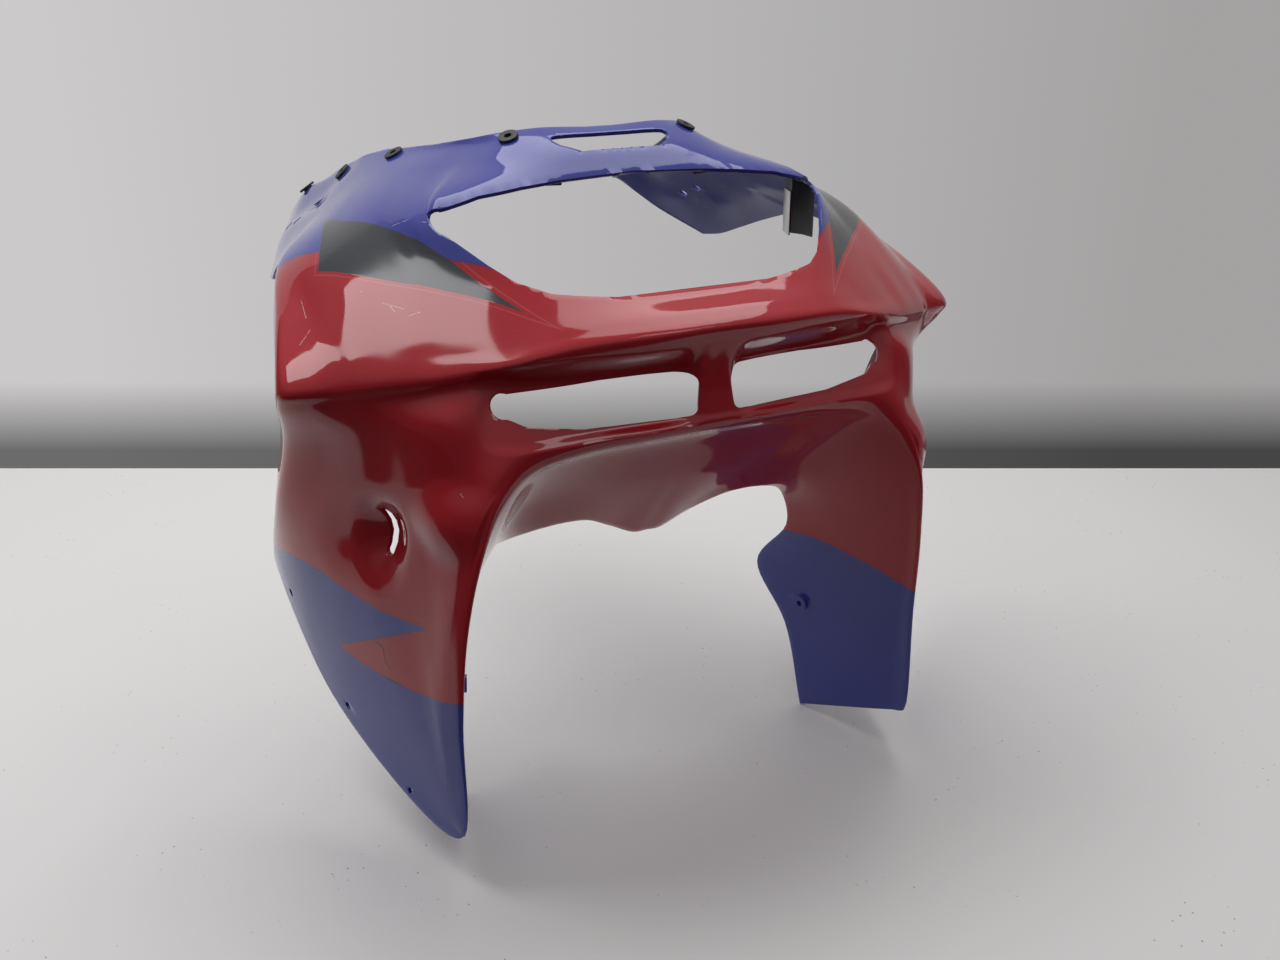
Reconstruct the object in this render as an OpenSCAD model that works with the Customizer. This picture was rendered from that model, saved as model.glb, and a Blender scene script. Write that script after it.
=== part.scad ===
// Upper front fairing of a sports motorcycle: one thin moulding that holds the headlight
// and the windscreen, with the rubber nuts that the screen is screwed to.
// Frame: X across (the rider's left is +X), -Y towards the nose, Z up, sizes in millimetres.
// X = 0 is the middle plane. Z = 0 is the lowest corners of the inner leg panels.

/* [Shell] */
// Width across the two corners of the brow
brow_w = 566; // [520:1:600]
// Width across the tips of the two legs
leg_w = 401; // [370:1:430]
// Width across the rear corners of the screen edge
ear_w = 348; // [320:1:370]
// Length from the nose to the end of the ears
shell_l = 553; // [500:1:600]
// Height from the lowest corners to the screen edge
shell_h = 532; // [490:1:580]
// Thickness of the moulding
wall = 3; // [2:0.1:4]

/* [Headlight opening] */
// Width of the opening at its upper corners
light_w = 324; // [300:1:336]
// Height of the opening in the middle, seen from the front
light_h = 66; // [56:1:72]
// Radius of the upper corners
light_r = 7; // [4:1:10]

/* [Air intakes] */
// Width of the strut between the two intakes
strut_w = 24; // [20:1:30]
// Distance from the middle plane to the outer end of an intake
intake_reach = 163; // [155:1:168]
// Height of an intake, seen from the front
intake_h = 30; // [24:1:32]
// Depth of the hollow under the brow that the intakes lie in
hollow_d = 11; // [6:1:18]
// Depth that the lip below an intake is rolled back
lip_d = 4; // [3:1:8]

/* [Vent under the screen] */
// Width of the vent
vent_w = 99; // [80:1:104]
// Length of the vent, front to back
vent_l = 27; // [20:1:30]

/* [Indicator recess] */
// Depth of the dished recess
dish_d = 8; // [4:1:12]
// Depth of the pocket in the recess, whose wall has the slit
pocket_d = 14; // [8:1:18]
// Height of the slit in the recess
slit_h = 38; // [30:1:46]
// Width of the slit
slit_w = 9; // [6:1:12]
// Height of the mound in front of the recess
mound_h = 9; // [4:1:14]

/* [Fixings] */
// Diameter of the holes for the side screws
screw_hole_d = 6.5; // [5:0.1:8]
// Diameter of the holes for the mirror stays
stay_hole_d = 10; // [8:0.5:12]
// Distance between the two holes for a mirror stay
stay_pitch = 34; // [28:1:38]
// Diameter of the hole that a rubber nut sits in
nut_hole_d = 9.6; // [9:0.1:11]
// Diameter of a rubber nut's flange
nut_flange_d = 16; // [14:0.5:18]
// Thickness of a rubber nut's flange
nut_flange_t = 2; // [1.5:0.1:3]
// Length of a rubber nut behind the panel
nut_body_l = 11; // [9:0.5:14]
// Diameter of the brass insert
insert_d = 6.4; // [6:0.1:7]
// Length of the brass insert
insert_l = 7; // [5:0.5:9]
// Diameter of the insert's tapped hole, for a 5 mm screw
insert_bore = 4.2; // [4:0.1:4.5]

/* [Headlight seats] */
// Length of a rubber pad under the opening's upper edge
pad_l = 20; // [16:1:28]
// Width of a rubber pad
pad_w = 12; // [8:1:16]
// Thickness of a rubber pad
pad_t = 5; // [3:0.5:8]
// Height of the bracket block behind the opening's outer corner
block_h = 43; // [36:1:48]
// Thickness of the metal clip on the bracket block
clip_t = 1.2; // [0.8:0.1:2]

/* [Boss on the leg panel] */
// Diameter of the boss
boss_d = 15; // [12:0.5:18]
// Height of the boss
boss_h = 4; // [2:0.5:6]
// Diameter of the hole through the boss
boss_bore = 5.2; // [4:0.1:6]

/* [Hidden] */
// The surface is a net of fifteen lines that run from the middle plane to the sides. Each
// line lists its stations: fourteen to the rear edge of the side, and four more along the ear.
brow = brow_w / 2;
leg = leg_w / 2;
ear = ear_w / 2;
net_l = 553;
net_h = 532;

function at(x, y, z) = [x, y * shell_l / net_l, z * shell_h / net_h];

// Free edge under the windscreen
screen_edge = [
    at(0, 188, 531), at(11, 188, 531), at(49, 191, 532), at(80, 204, 528),
    at(95, 221, 523), at(106, 243, 518), at(113, 261, 514), at(119, 278, 511),
    at(125, 294, 508), at(131, 312, 505), at(135, 325, 503), at(140, 341, 499),
    at(0.84 * ear, 363, 493), at(0.865 * ear, 385, 485), at(0.895 * ear, 412, 476),
    at(0.91 * ear, 446, 464), at(0.93 * ear, 487, 449), at(0.94 * ear, 530, 428)];
// Line of the rubber nuts, which is also the rear edge of the vent
nut_line = [
    at(0, 175, 528), at(11, 175, 528), at(49, 177, 528), at(76, 190, 526),
    at(93, 207, 520), at(106, 230, 515), at(115, 249, 511), at(122, 266, 508),
    at(129, 283, 505), at(136, 302, 502), at(141, 316, 499), at(146, 332, 495),
    at(0.875 * ear, 356, 488), at(0.9 * ear, 378, 480), at(0.93 * ear, 406, 470),
    at(0.965 * ear, 443, 459), at(0.99 * ear, 486, 447), at(ear, 535, 425)];
// Front edge of the vent
vent_line = [
    at(0, 147, 519), at(11, 147, 519), at(50, 150, 518), at(92, 166, 513),
    at(112, 184, 508), at(126, 206, 503), at(135, 224, 501), at(142, 240, 499),
    at(149, 257, 496), at(156, 274, 492), at(161, 289, 488), at(166, 305, 483),
    at(ear, 331, 473), at(1.025 * ear, 355, 465), at(1.045 * ear, 387, 453),
    at(1.07 * ear, 426, 440), at(1.09 * ear, 470, 427), at(1.08 * ear, 515, 412)];
// Upper edge of the headlight opening, then the shoulder crease
shoulder = [
    at(0, 130, 506), at(11, 130, 506), at(55, 129, 503), at(105, 126, 498),
    at(150, 123, 487), at(166, 138, 482), at(173, 157, 481), at(178, 176, 480),
    at(182, 196, 480), at(187, 220, 478), at(191, 238, 475), at(195, 258, 471),
    at(1.145 * ear, 292, 462), at(1.16 * ear, 322, 453), at(1.18 * ear, 362, 441),
    at(1.2 * ear, 404, 427), at(1.2 * ear, 446, 412), at(1.17 * ear, 490, 397)];
// Lower edge of the headlight opening, the side's upper part, then the ear's lower edge
flank = [
    at(0, 25, 439), at(11, 25, 439), at(48, 27, 440), at(92, 33, 442),
    at(128, 52, 444), at(157, 78, 446), at(176, 101, 449), at(189, 120, 451),
    at(205, 141, 453), at(218, 161, 454), at(229, 183, 452), at(237, 206, 449),
    at(0.868 * brow, 243, 439), at(0.855 * brow, 270, 431),
    at(0.838 * brow, 322, 414), at(0.824 * brow, 364, 398), at(0.811 * brow, 399, 385),
    at(0.797 * brow, 430, 379)];
// Top of the brow, just behind its edge
brow_top = [
    at(0, -6, 428.5), at(11, -6, 428.5), at(46, -5, 428), at(101, 4, 424),
    at(143, 21, 415), at(168, 36, 411), at(186, 50, 409), at(201, 62, 409),
    at(215, 76, 409), at(229, 91, 410), at(241, 105, 410), at(252, 121, 410),
    at(0.95 * brow, 150, 411), at(0.943 * brow, 182, 411)];
// Edge of the brow
brow_edge = [
    at(0, -18, 421), at(11, -18, 421), at(46, -17, 420), at(104, -6, 415.5),
    at(147, 10, 405), at(171, 24, 399), at(190, 36, 394), at(206, 47, 391),
    at(221, 58, 388), at(236, 69, 385), at(250, 80, 382), at(266, 86, 381),
    at(brow, 98, 378), at(0.985 * brow, 134, 376)];
// Underside of the brow
brow_under = [
    at(0, -14, 410), at(11, -14, 410), at(46, -13, 409), at(104, -2, 404),
    at(147, 13, 395), at(171, 27, 389), at(190, 39, 384), at(206, 50, 380),
    at(221, 61, 377), at(236, 72, 374), at(250, 83, 371), at(266, 91, 369),
    at(0.998 * brow, 106, 366), at(0.983 * brow, 140, 363)];
// Line along the top of the intakes
intake_top = [
    at(0, -8, 386), at(11, -8, 386), at(47, -1, 385), at(105, 5, 383),
    at(147, 13, 380), at(173, 18, 374), at(188, 22, 368), at(200, 31, 361),
    at(211, 44, 354), at(223, 62, 347), at(237, 81, 341), at(252, 105, 334),
    at(0.97 * brow, 141, 326), at(0.966 * brow, 173, 322)];
// Line along the bottom of the intakes, then the middle of the side
intake_bottom = [
    at(0, -12, 358), at(11, -12, 358), at(47, -10, 356), at(104, -6, 357),
    at(146, 0, 360), at(172, 5, 346), at(185, 8, 330), at(196, 18, 310),
    at(208, 36, 290), at(222, 60, 274), at(240, 90, 262), at(259, 128, 258),
    at(0.99 * brow, 178, 262), at(0.975 * brow, 208, 264)];
// Front of the lip and of the leg, where the edge starts to roll back
lip_front = [
    at(0, -15, 352), at(11, -15, 352), at(47, -14, 351), at(102, -10, 350),
    at(143, -8, 344), at(170, -9, 322), at(187, -7, 284), at(200, 2, 220),
    at(1.03 * leg, 12, 145), at(1.033 * leg, 14, 66), at(1.085 * leg, 44, 70),
    at(0.905 * brow, 146, 118), at(0.99 * brow, 222, 208), at(0.975 * brow, 246, 212)];
// Arch over the wheel and front edge of the leg, then the slanted edge of the side
arch = [
    at(0, -10, 344), at(11, -10, 344), at(47, -9, 343), at(100, -6, 341),
    at(140, -6, 334), at(165, -12, 318), at(0.903 * leg, -16, 283),
    at(0.96 * leg, -9, 220), at(0.985 * leg, -2, 145), at(leg, 1, 47),
    at(1.05 * leg, 26, 38), at(0.912 * brow, 158, 97), at(0.985 * brow, 240, 187),
    at(0.972 * brow, 262, 193)];
// Inner side of the rolled edge
roll_back = [
    at(0, 6, 334), at(11, 6, 334), at(46, 7, 333), at(97, 8, 331), at(134, 8, 322),
    at(157, 2, 303), at(0.882 * leg, -2, 268), at(0.944 * leg, 3, 212),
    at(0.967 * leg, 11, 138), at(0.975 * leg, 15, 40)];
// Middle of the chin panel and of the inner leg panels
panel_middle = [
    at(0, 52, 278), at(11, 52, 278), at(40, 50, 282), at(80, 48, 290), at(122, 58, 278),
    at(152, 62, 240), at(0.83 * leg, 72, 200), at(0.858 * leg, 74, 160),
    at(0.888 * leg, 66, 100), at(0.898 * leg, 62, 20)];
// Free edge of the chin panel and of the inner leg panels
panel_edge = [
    at(0, 103, 217), at(11, 103, 217), at(36, 98, 230), at(65, 84, 246),
    at(105, 90, 242), at(138, 116, 218), at(0.76 * leg, 130, 180),
    at(0.713 * leg, 162, 131), at(0.783 * leg, 131, 78), at(0.82 * leg, 110, 0)];

lines = [screen_edge, nut_line, vent_line, shoulder, flank, brow_top, brow_edge, brow_under,
    intake_top, intake_bottom, lip_front, arch, roll_back, panel_middle, panel_edge];
// Cells between one line and the next, and between one station and the next
line_cells = [1, 2, 1, 4, 2, 2, 2, 3, 3, 5, 2, 2, 3, 3];
station_cells = [2, 3, 4, 4, 3, 2, 2, 2, 2, 2, 3, 3, 2, 2, 2, 2, 2];
// Numbers of the lines and stations that other features refer to
n_shoulder = 3;
n_flank = 4;
n_arch = 11;
tip_station = 9;
side_station = 13;

function sum_to(v, n) = n <= 0 ? 0 : v[n - 1] + sum_to(v, n - 1);
function clamp01(t) = min(1, max(0, t));
function mix(a, b, t) = a + (b - a) * t;
function unit(v) = v / norm(v);
function flip(p) = [-p.x, p.y, p.z];

// One stretch of a smooth curve, from b to c, whose pace follows the root of each chord
function knot(p, q) = sqrt(max(norm(q - p), 0.001));
function stretch(a, b, c, d, t) =
    let (k1 = knot(a, b), k2 = k1 + knot(b, c), k3 = k2 + knot(c, d), k = mix(k1, k2, t),
         ab = mix(a, b, k / k1), bc = mix(b, c, t), cd = mix(c, d, (k - k2) / (k3 - k2)),
         abc = mix(ab, bc, k / k2), bcd = mix(bc, cd, (k - k1) / (k3 - k1)))
    mix(abc, bcd, t);
// Curve through all the points, with the given count of steps between one and the next
function curve(p, cells, before) =
    let (n = len(p), last = 2 * p[n - 1] - p[n - 2])
    [for (i = [0 : n - 2]) for (s = [0 : cells[i] - 1])
        stretch(i == 0 ? before : p[i - 1], p[i], p[i + 1], i == n - 2 ? last : p[i + 2],
            s / cells[i]),
     p[n - 1]];

// Each line run out to the sides, starting square across the middle plane
runs = [for (line = lines) curve(line, station_cells, flip(line[1]))];
cols = len(runs[0]);
tip_col = sum_to(station_cells, tip_station);
side_col = sum_to(station_cells, side_station);
arch_row = sum_to(line_cells, n_arch);
flank_row = sum_to(line_cells, n_flank);
full_row = sum_to(line_cells, len(line_cells));

// Count of lines that reach a column, and the last row of cells there
function reach(j) = j <= tip_col ? len(lines) : j <= side_col ? n_arch + 1 : n_flank + 1;
function last_row(j) = j <= tip_col ? full_row : j <= side_col ? arch_row : flank_row;

base = [for (j = [0 : cols - 1])
    let (p = [for (r = [0 : reach(j) - 1]) runs[r][j]])
    curve(p, line_cells, 2 * p[0] - p[1])];

// Air intakes: seen from the front, a long opening whose lower edge rises at its outer end
intake_z = 371 * shell_h / net_h;
strut = strut_w / 2;
intake_low = intake_z - intake_h / 2;
intake_high = intake_z + intake_h / 2;
intake_r = 7;
strut_run = 16;
intake_outline = inset_box([
    [strut + 3, intake_low + 1], [strut + 18, intake_low], [intake_reach * 0.6, intake_low + 1],
    [intake_reach * 0.84, intake_low + 6], [intake_reach, intake_high - 12],
    [intake_reach * 0.94, intake_high - 5], [intake_reach * 0.5, intake_high - 1],
    [strut, intake_high]], intake_r);
// Headlight opening: half of it seen from the front, carried past the middle plane
light_high = shoulder[0].z - 1;
light_low = light_high - light_h;
light_half = light_w / 2;
light_outline = inset_box([
    [-light_half / 3, light_low], [light_half * 0.37, light_low], [light_half * 0.64, light_low + 4],
    [light_half * 0.76, light_low + 10], [light_half * 0.84, light_low + 19],
    [light_half, light_high - 25], [light_half * 0.985, light_high - 18],
    [light_half * 0.76, light_high - 9], [light_half * 0.56, light_high - 5],
    [light_half * 0.36, light_high - 2.5], [0, light_high], [-light_half / 3, light_high]], light_r);
// Vent: half of it seen from above
vent_y = 147 * shell_l / net_l;
vent_outline = inset_box([
    [-vent_w * 0.3, vent_y], [vent_w * 0.33, vent_y + 1], [vent_w * 0.46, vent_y + vent_l * 0.45],
    [vent_w / 2, vent_y + vent_l * 0.8], [vent_w * 0.48, vent_y + vent_l],
    [-vent_w * 0.3, vent_y + vent_l]], 2);

// Corners drawn in by r from a convex outline that runs anticlockwise, for rounding by r
function inset_box(p, r) = [let (n = len(p)) for (i = [0 : n - 1])
    let (a = unit(p[i] - p[(i + n - 1) % n]), b = unit(p[(i + 1) % n] - p[i]),
         na = [-a.y, a.x], nb = [-b.y, b.x], m = na + nb)
    p[i] + m * r / (m * na)];
// Nearest point of an outline, and the signed distance to its rounded edge
function near_on(q, a, b) = a + (b - a) * clamp01((q - a) * (b - a) / ((b - a) * (b - a)));
function inside(q, p) = let (n = len(p), hits = [for (i = [0 : n - 1])
    let (a = p[i], b = p[(i + 1) % n])
    if ((a.y > q.y) != (b.y > q.y) && q.x < mix(a.x, b.x, (q.y - a.y) / (b.y - a.y))) 1])
    len(hits) % 2 == 1;
function nearest(q, p) = let (n = len(p),
    c = [for (i = [0 : n - 1]) near_on(q, p[i], p[(i + 1) % n])],
    d = [for (v = c) norm(q - v)], m = min(d)) c[search(m, d)[0]];
function gap_to(q, p, r) = let (c = nearest(q, p)) (inside(q, p) ? -1 : 1) * norm(q - c) - r;
function onto(q, p, r) = let (c = nearest(q, p), out = inside(q, p) ? c - q : q - c)
    c + unit(out) * r;

// Hollow under the brow round an intake, and the rolled lip below it
function hollow(p) =
    let (x = abs(p.x), near_strut = clamp01((strut + strut_run - x) / strut_run),
         side = near_strut + max(x - intake_reach + 14, 0) / 22,
         up = max(p.z - intake_high, 0) / 24, down = max(intake_low - p.z, 0) / 8,
         q = side * side + up * up + down * down,
         depth = mix(lip_d, hollow_d, clamp01((p.z - intake_low) / intake_h)))
    q < 1 ? depth * pow(1 - q, 1.5) : 0;

// Dished recess with a pocket for the indicator slit, and the mound in front of it, seen
// from the side
function from_side(y, z) = [y * shell_l / net_l, z * shell_h / net_h];
dish_at = from_side(86, 266);
dish_turn = -38;
pocket_at = from_side(74, 266);
pocket_turn = -76;
mound_at = from_side(12, 298);
function bump(q, c, turn, a, b) =
    let (d = q - c, s = (d.x * cos(turn) + d.y * sin(turn)) / a,
         t = (d.y * cos(turn) - d.x * sin(turn)) / b, r = s * s + t * t)
    r < 1 ? (1 - r) * (1 - r) : 0;
function side_relief(p) = let (q = [p.y, p.z])
    mound_h * bump(q, mound_at, 0, 36, 34) - dish_d * bump(q, dish_at, dish_turn, 62, 38)
        - pocket_d * bump(q, pocket_at, pocket_turn, 40, 27);

// Normal of the net at a point, from its neighbours
function net_at(g, i, j) = j < 0 ? flip(g[-j][i]) : g[j][i];
function normal(g, i, j) =
    let (hi = len(g[j]) - 1, jr = j + 1 < len(g) && i < len(g[j + 1]) ? j + 1 : j,
         du = g[j][min(i + 1, hi)] - g[j][max(i - 1, 0)],
         dv = net_at(g, i, jr) - net_at(g, i, j - 1))
    unit(cross(du, dv));

intake_rows = [sum_to(line_cells, 6), sum_to(line_cells, 10)];
side_rows = [sum_to(line_cells, 7), sum_to(line_cells, 11) - 1];
formed = [for (j = [0 : cols - 1]) [for (i = [0 : len(base[j]) - 1])
    let (p = base[j][i],
         in_band = i > intake_rows[0] && i <= intake_rows[1] && p.x < intake_reach + 10,
         on_side = i > side_rows[0] && i < side_rows[1] && p.x > 0.8 * leg)
    in_band ? p + [0, hollow(p), 0]
    : on_side ? p + normal(base, i, j) * side_relief(p) : p]];

// The openings of the net: which rows each may lie in, and how its outline is seen
light_rows = [sum_to(line_cells, 2), sum_to(line_cells, 5)];
vent_rows = [0, sum_to(line_cells, 3)];
function front(p) = [p.x, p.z];
function top(p) = [p.x, p.y];
function opening(p, i) =
    i >= light_rows[0] && i < light_rows[1] && gap_to(front(p), light_outline, light_r) < 0 ? 1
    : i >= vent_rows[0] && i < vent_rows[1] && gap_to(top(p), vent_outline, 2) < 0 ? 2
    : i >= intake_rows[0] && i < intake_rows[1]
        && gap_to(front(p), intake_outline, intake_r) < 0 ? 3 : 0;

// State of each cell of the half net: -1 past its edge, 0 solid, or the opening's number
cells = [for (j = [0 : cols - 2]) [for (i = [0 : full_row - 1])
    i >= last_row(j + 1) ? -1
    : opening((formed[j][i] + formed[j][i + 1] + formed[j + 1][i] + formed[j + 1][i + 1]) / 4,
        i)]];
function cell(i, j) = i < 0 || i >= full_row ? -1
    : let (k = j < 0 ? -1 - j : j) k >= cols - 1 ? -1 : cells[k][i];

// A point on the rim of an opening moves along the surface onto the opening's outline
function slide_front(p, n, q) = let (dx = q.x - p.x, dz = q.y - p.z)
    p + [dx, -(n.x * dx + n.z * dz) / n.y, dz];
function slide_top(p, n, q) = let (dx = q.x - p.x, dy = q.y - p.y)
    p + [dx, dy, -(n.x * dx + n.y * dy) / n.z];
function fitted(p, n, k) =
    k == 1 ? slide_front(p, n, onto(front(p), light_outline, light_r))
    : k == 2 ? slide_top(p, n, onto(top(p), vent_outline, 2))
    : slide_front(p, n, onto(front(p), intake_outline, intake_r));
outer = [for (j = [0 : cols - 1]) [for (i = [0 : len(formed[j]) - 1])
    let (round = [cell(i - 1, j - 1), cell(i - 1, j), cell(i, j - 1), cell(i, j)],
         k = max(round), p = formed[j][i], q = k > 0 && min(round) < k
            ? fitted(p, normal(formed, i, j), k) : p)
    j == 0 ? [0, q.y, q.z] : q]];
inner = [for (j = [0 : cols - 1]) [for (i = [0 : len(outer[j]) - 1])
    let (n = normal(formed, i, j), q = outer[j][i] - n * wall) j == 0 ? [0, q.y, q.z] : q]];

// Points of the whole width, from the far column of one side to that of the other
rows = full_row + 1;
far = cols - 1;
function side_point(g, i, c) = let (j = abs(c), p = i < len(g[j]) ? g[j][i] : g[j][0])
    c < 0 ? flip(p) : p;
skin = [for (c = [-far : far]) for (i = [0 : rows - 1]) side_point(outer, i, c)];
lining = [for (c = [-far : far]) for (i = [0 : rows - 1]) side_point(inner, i, c)];
back = len(skin);
function id(i, c) = (c + far) * rows + i;
function solid_cell(i, c) = cell(i, c) == 0;
// Two triangles of a four-sided face; the far side is split the other way, as its mirror image
function two(c, p, q, r, s) = c < 0 ? [[q, r, s], [q, s, p]] : [[p, q, r], [p, r, s]];
function cell_faces(i, c) =
    let (p = id(i, c), q = id(i + 1, c), r = id(i + 1, c + 1), s = id(i, c + 1))
    concat(two(c, p, s, r, q), two(c, p + back, q + back, r + back, s + back),
        solid_cell(i - 1, c) ? [] : two(c, s, p, p + back, s + back),
        solid_cell(i, c + 1) ? [] : two(c, r, s, s + back, r + back),
        solid_cell(i + 1, c) ? [] : two(c, q, r, r + back, q + back),
        solid_cell(i, c - 1) ? [] : two(c, p, q, q + back, p + back));

// A point of the finished surface and the normal there, at a place in the net that may lie
// between two columns and two rows, on the triangle that covers it
function part_of(g, j, i) =
    let (a = floor(j), b = floor(i), s = j - a, t = i - b, p = g(a, b), c = a + ceil(s),
         d = b + ceil(t), r = g(c, d))
    s > t ? let (q = g(c, b)) p + (q - p) * s + (r - q) * t
    : let (q = g(a, d)) p + (q - p) * t + (r - q) * s;
net_point = function (j, i) formed[j][i];
net_out = function (j, i) normal(formed, i, j);
function place_at(j, i) = part_of(net_point, j, i);
function out_at(j, i) = unit(part_of(net_out, j, i));
module along(p, n) {
    translate(p) rotate([0, acos(n.z), atan2(n.y, n.x)]) children();
}
module both_sides() {
    children();
    mirror([1, 0, 0]) children();
}

// Rubber nuts: their row, and the columns from the vent to the end of the ear
nut_row = line_cells[0];
nut_cols = [for (s = [3, 9, 14, 16]) sum_to(station_cells, s)];
// Holes for the side screws, along the slanted edge: the column and the row of each
screw_places = [
    [sum_to(station_cells, 10) + 0.85, arch_row - 0.65],
    [sum_to(station_cells, 11) - 0.45, arch_row - 1.3],
    [sum_to(station_cells, 12) - 1.15, arch_row - 1.65]];
// Holes for the mirror stay, in the deck of the ear beside its crease
crease_row = sum_to(line_cells, n_shoulder);
stay_col = sum_to(station_cells, 15) + 0.3;
stay_p = place_at(stay_col, crease_row - 0.3);
stay_across = place_at(stay_col, crease_row) - place_at(stay_col, crease_row - 1);
stay_along = place_at(stay_col + 1, crease_row - 0.3) - place_at(stay_col - 1, crease_row - 0.3);
stay_dir = unit(stay_along);
stay_n = unit(cross(stay_across, stay_along));
// Boss on the inner leg panel
boss_row = sum_to(line_cells, 13) + 0.76;
boss_col = sum_to(station_cells, 7) - 0.72;
sink = 1;
reach_through = 30;
round_fn = 48;

module slit() {
    run = slit_h - slit_w;
    deep = reach_through + pocket_d + wall;
    for (z = [-run / 2, run / 2]) translate([0, 0, z])
        rotate([0, 90, 0]) cylinder(d = slit_w, h = deep, center = true, $fn = round_fn);
    cube([deep, slit_w, run], center = true);
}

module moulding() {
    faces = [for (c = [-far : far - 1]) for (i = [0 : rows - 2])
        if (solid_cell(i, c)) each cell_faces(i, c)];
    polyhedron(points = concat(skin, lining), faces = faces, convexity = 10);
}

module at_boss() {
    along(place_at(boss_col, boss_row), out_at(boss_col, boss_row)) children();
}
module shell_holes() {
    for (j = nut_cols) along(place_at(j, nut_row), out_at(j, nut_row))
        cylinder(d = nut_hole_d, h = reach_through, center = true, $fn = round_fn);
    for (q = screw_places) along(place_at(q.x, q.y), out_at(q.x, q.y))
        cylinder(d = screw_hole_d, h = reach_through, center = true, $fn = round_fn);
    for (s = [-1, 1]) along(stay_p + stay_dir * s * stay_pitch / 2, stay_n)
        cylinder(d = stay_hole_d, h = reach_through, center = true, $fn = round_fn);
    at_boss() cylinder(d = boss_bore, h = reach_through, center = true, $fn = round_fn);
    translate([0.795 * brow, pocket_at.x + 6, pocket_at.y + 2]) rotate([0, 0, -25]) slit();
}

module shell() {
    color("firebrick") difference() {
        union() {
            moulding();
            both_sides() at_boss() translate([0, 0, -2 * sink])
                cylinder(d = boss_d, h = boss_h + 2 * sink, $fn = round_fn);
        }
        both_sides() shell_holes();
    }
}

// Rubber nut: a flanged sleeve whose far end holds the brass insert
nut_gap = 0.3;
nut_body_d = nut_hole_d - 0.4;
screw_way = insert_bore + 1.6;
module rubber_nut() {
    translate([0, 0, nut_gap]) rotate_extrude($fn = round_fn) polygon([
        [screw_way / 2, nut_flange_t], [nut_flange_d / 2 - 0.5, nut_flange_t],
        [nut_flange_d / 2, nut_flange_t - 0.5], [nut_flange_d / 2, 0], [nut_body_d / 2, 0],
        [nut_body_d / 2, -nut_body_l], [insert_d / 2, -nut_body_l],
        [insert_d / 2, insert_l - nut_body_l], [screw_way / 2, insert_l - nut_body_l]]);
}
module brass_insert() {
    translate([0, 0, nut_gap - nut_body_l]) difference() {
        cylinder(d = insert_d, h = insert_l, $fn = round_fn);
        translate([0, 0, -sink]) cylinder(d = insert_bore, h = insert_l + 2 * sink, $fn = round_fn);
    }
}
sides = ["left", "right"];
module on_side(side) {
    if (side == "left") children();
    else mirror([1, 0, 0]) children();
}
function nut_name(kind, side, k) = str(kind, "_", side, "_", k + 1);
module at_nut(side, k) {
    on_side(side) along(place_at(nut_cols[k], nut_row), out_at(nut_cols[k], nut_row)) children();
}

// Rubber pad under the deck, by the headlight opening's upper edge
pad_col = sum_to(station_cells, 2) + 1;
pad_gap = 1.0;
deck_row = sum_to(line_cells, 2);
module light_pad() {
    n = unit(out_at(pad_col, deck_row) + out_at(pad_col, deck_row + 1));
    p = mix(place_at(pad_col, deck_row), place_at(pad_col, deck_row + 1), 0.62);
    along(p, n) translate([-pad_w / 2, -pad_l / 2, -wall - pad_t - pad_gap])
        cube([pad_w, pad_l, pad_t]);
}
// Bracket block that hangs under the shoulder crease, and the metal clip on its inner face
block_cols = [for (s = [6, 7]) sum_to(station_cells, s)];
function seat(j) = [mix(inner[j][deck_row + 1], inner[j][deck_row], 0.15),
    inner[j][deck_row + 1], inner[j][deck_row + 2]];
block_top = [for (j = block_cols) for (p = seat(j)) p - [0, 0, pad_gap / 2]];
block_low = block_top[1].z - block_h;
function dropped(p, z) = [p.x, p.y, z];
module light_block() {
    polyhedron(points = concat(block_top, [for (p = block_top) dropped(p, block_low)]),
        faces = [[3, 4, 1, 0], [4, 5, 2, 1], [6, 7, 10, 9], [7, 8, 11, 10], [0, 1, 7, 6],
            [1, 2, 8, 7], [9, 10, 4, 3], [10, 11, 5, 4], [6, 9, 3, 0], [2, 5, 11, 8]]);
}
clip_top = block_top[1].z - 8;
module light_clip() {
    a = block_top[0];
    b = block_top[3];
    out = unit([a.y - b.y, b.x - a.x, 0]) * clip_t;
    base_points = [a, b, b + out, a + out];
    polyhedron(points = concat([for (p = base_points) dropped(p, block_low - 2)],
            [for (p = base_points) dropped(p, clip_top)]),
        faces = [[0, 1, 2, 3], [7, 6, 5, 4], [4, 5, 1, 0], [5, 6, 2, 1], [6, 7, 3, 2],
            [7, 4, 0, 3]]);
}

// The finished part stands with the middle of its outline, seen from above, on the origin
all_y = [for (p = skin) p.y];
mid_y = (min(all_y) + max(all_y)) / 2;
module placed() {
    translate([0, -mid_y, 0]) children();
}

placed() shell();
for (side = sides) {
    for (k = [0 : 3]) {
        color("#1c1c1e") placed() at_nut(side, k) rubber_nut();
        color("#b08d57") placed() at_nut(side, k) brass_insert();
    }
    color("#161618") placed() on_side(side) light_pad();
    color("#202024") placed() on_side(side) light_block();
    color("#b8bcc0") placed() on_side(side) light_clip();
}
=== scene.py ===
import math

import bmesh
import bpy
import numpy as np
from mathutils import Matrix, Vector
from mathutils.kdtree import KDTree


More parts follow.
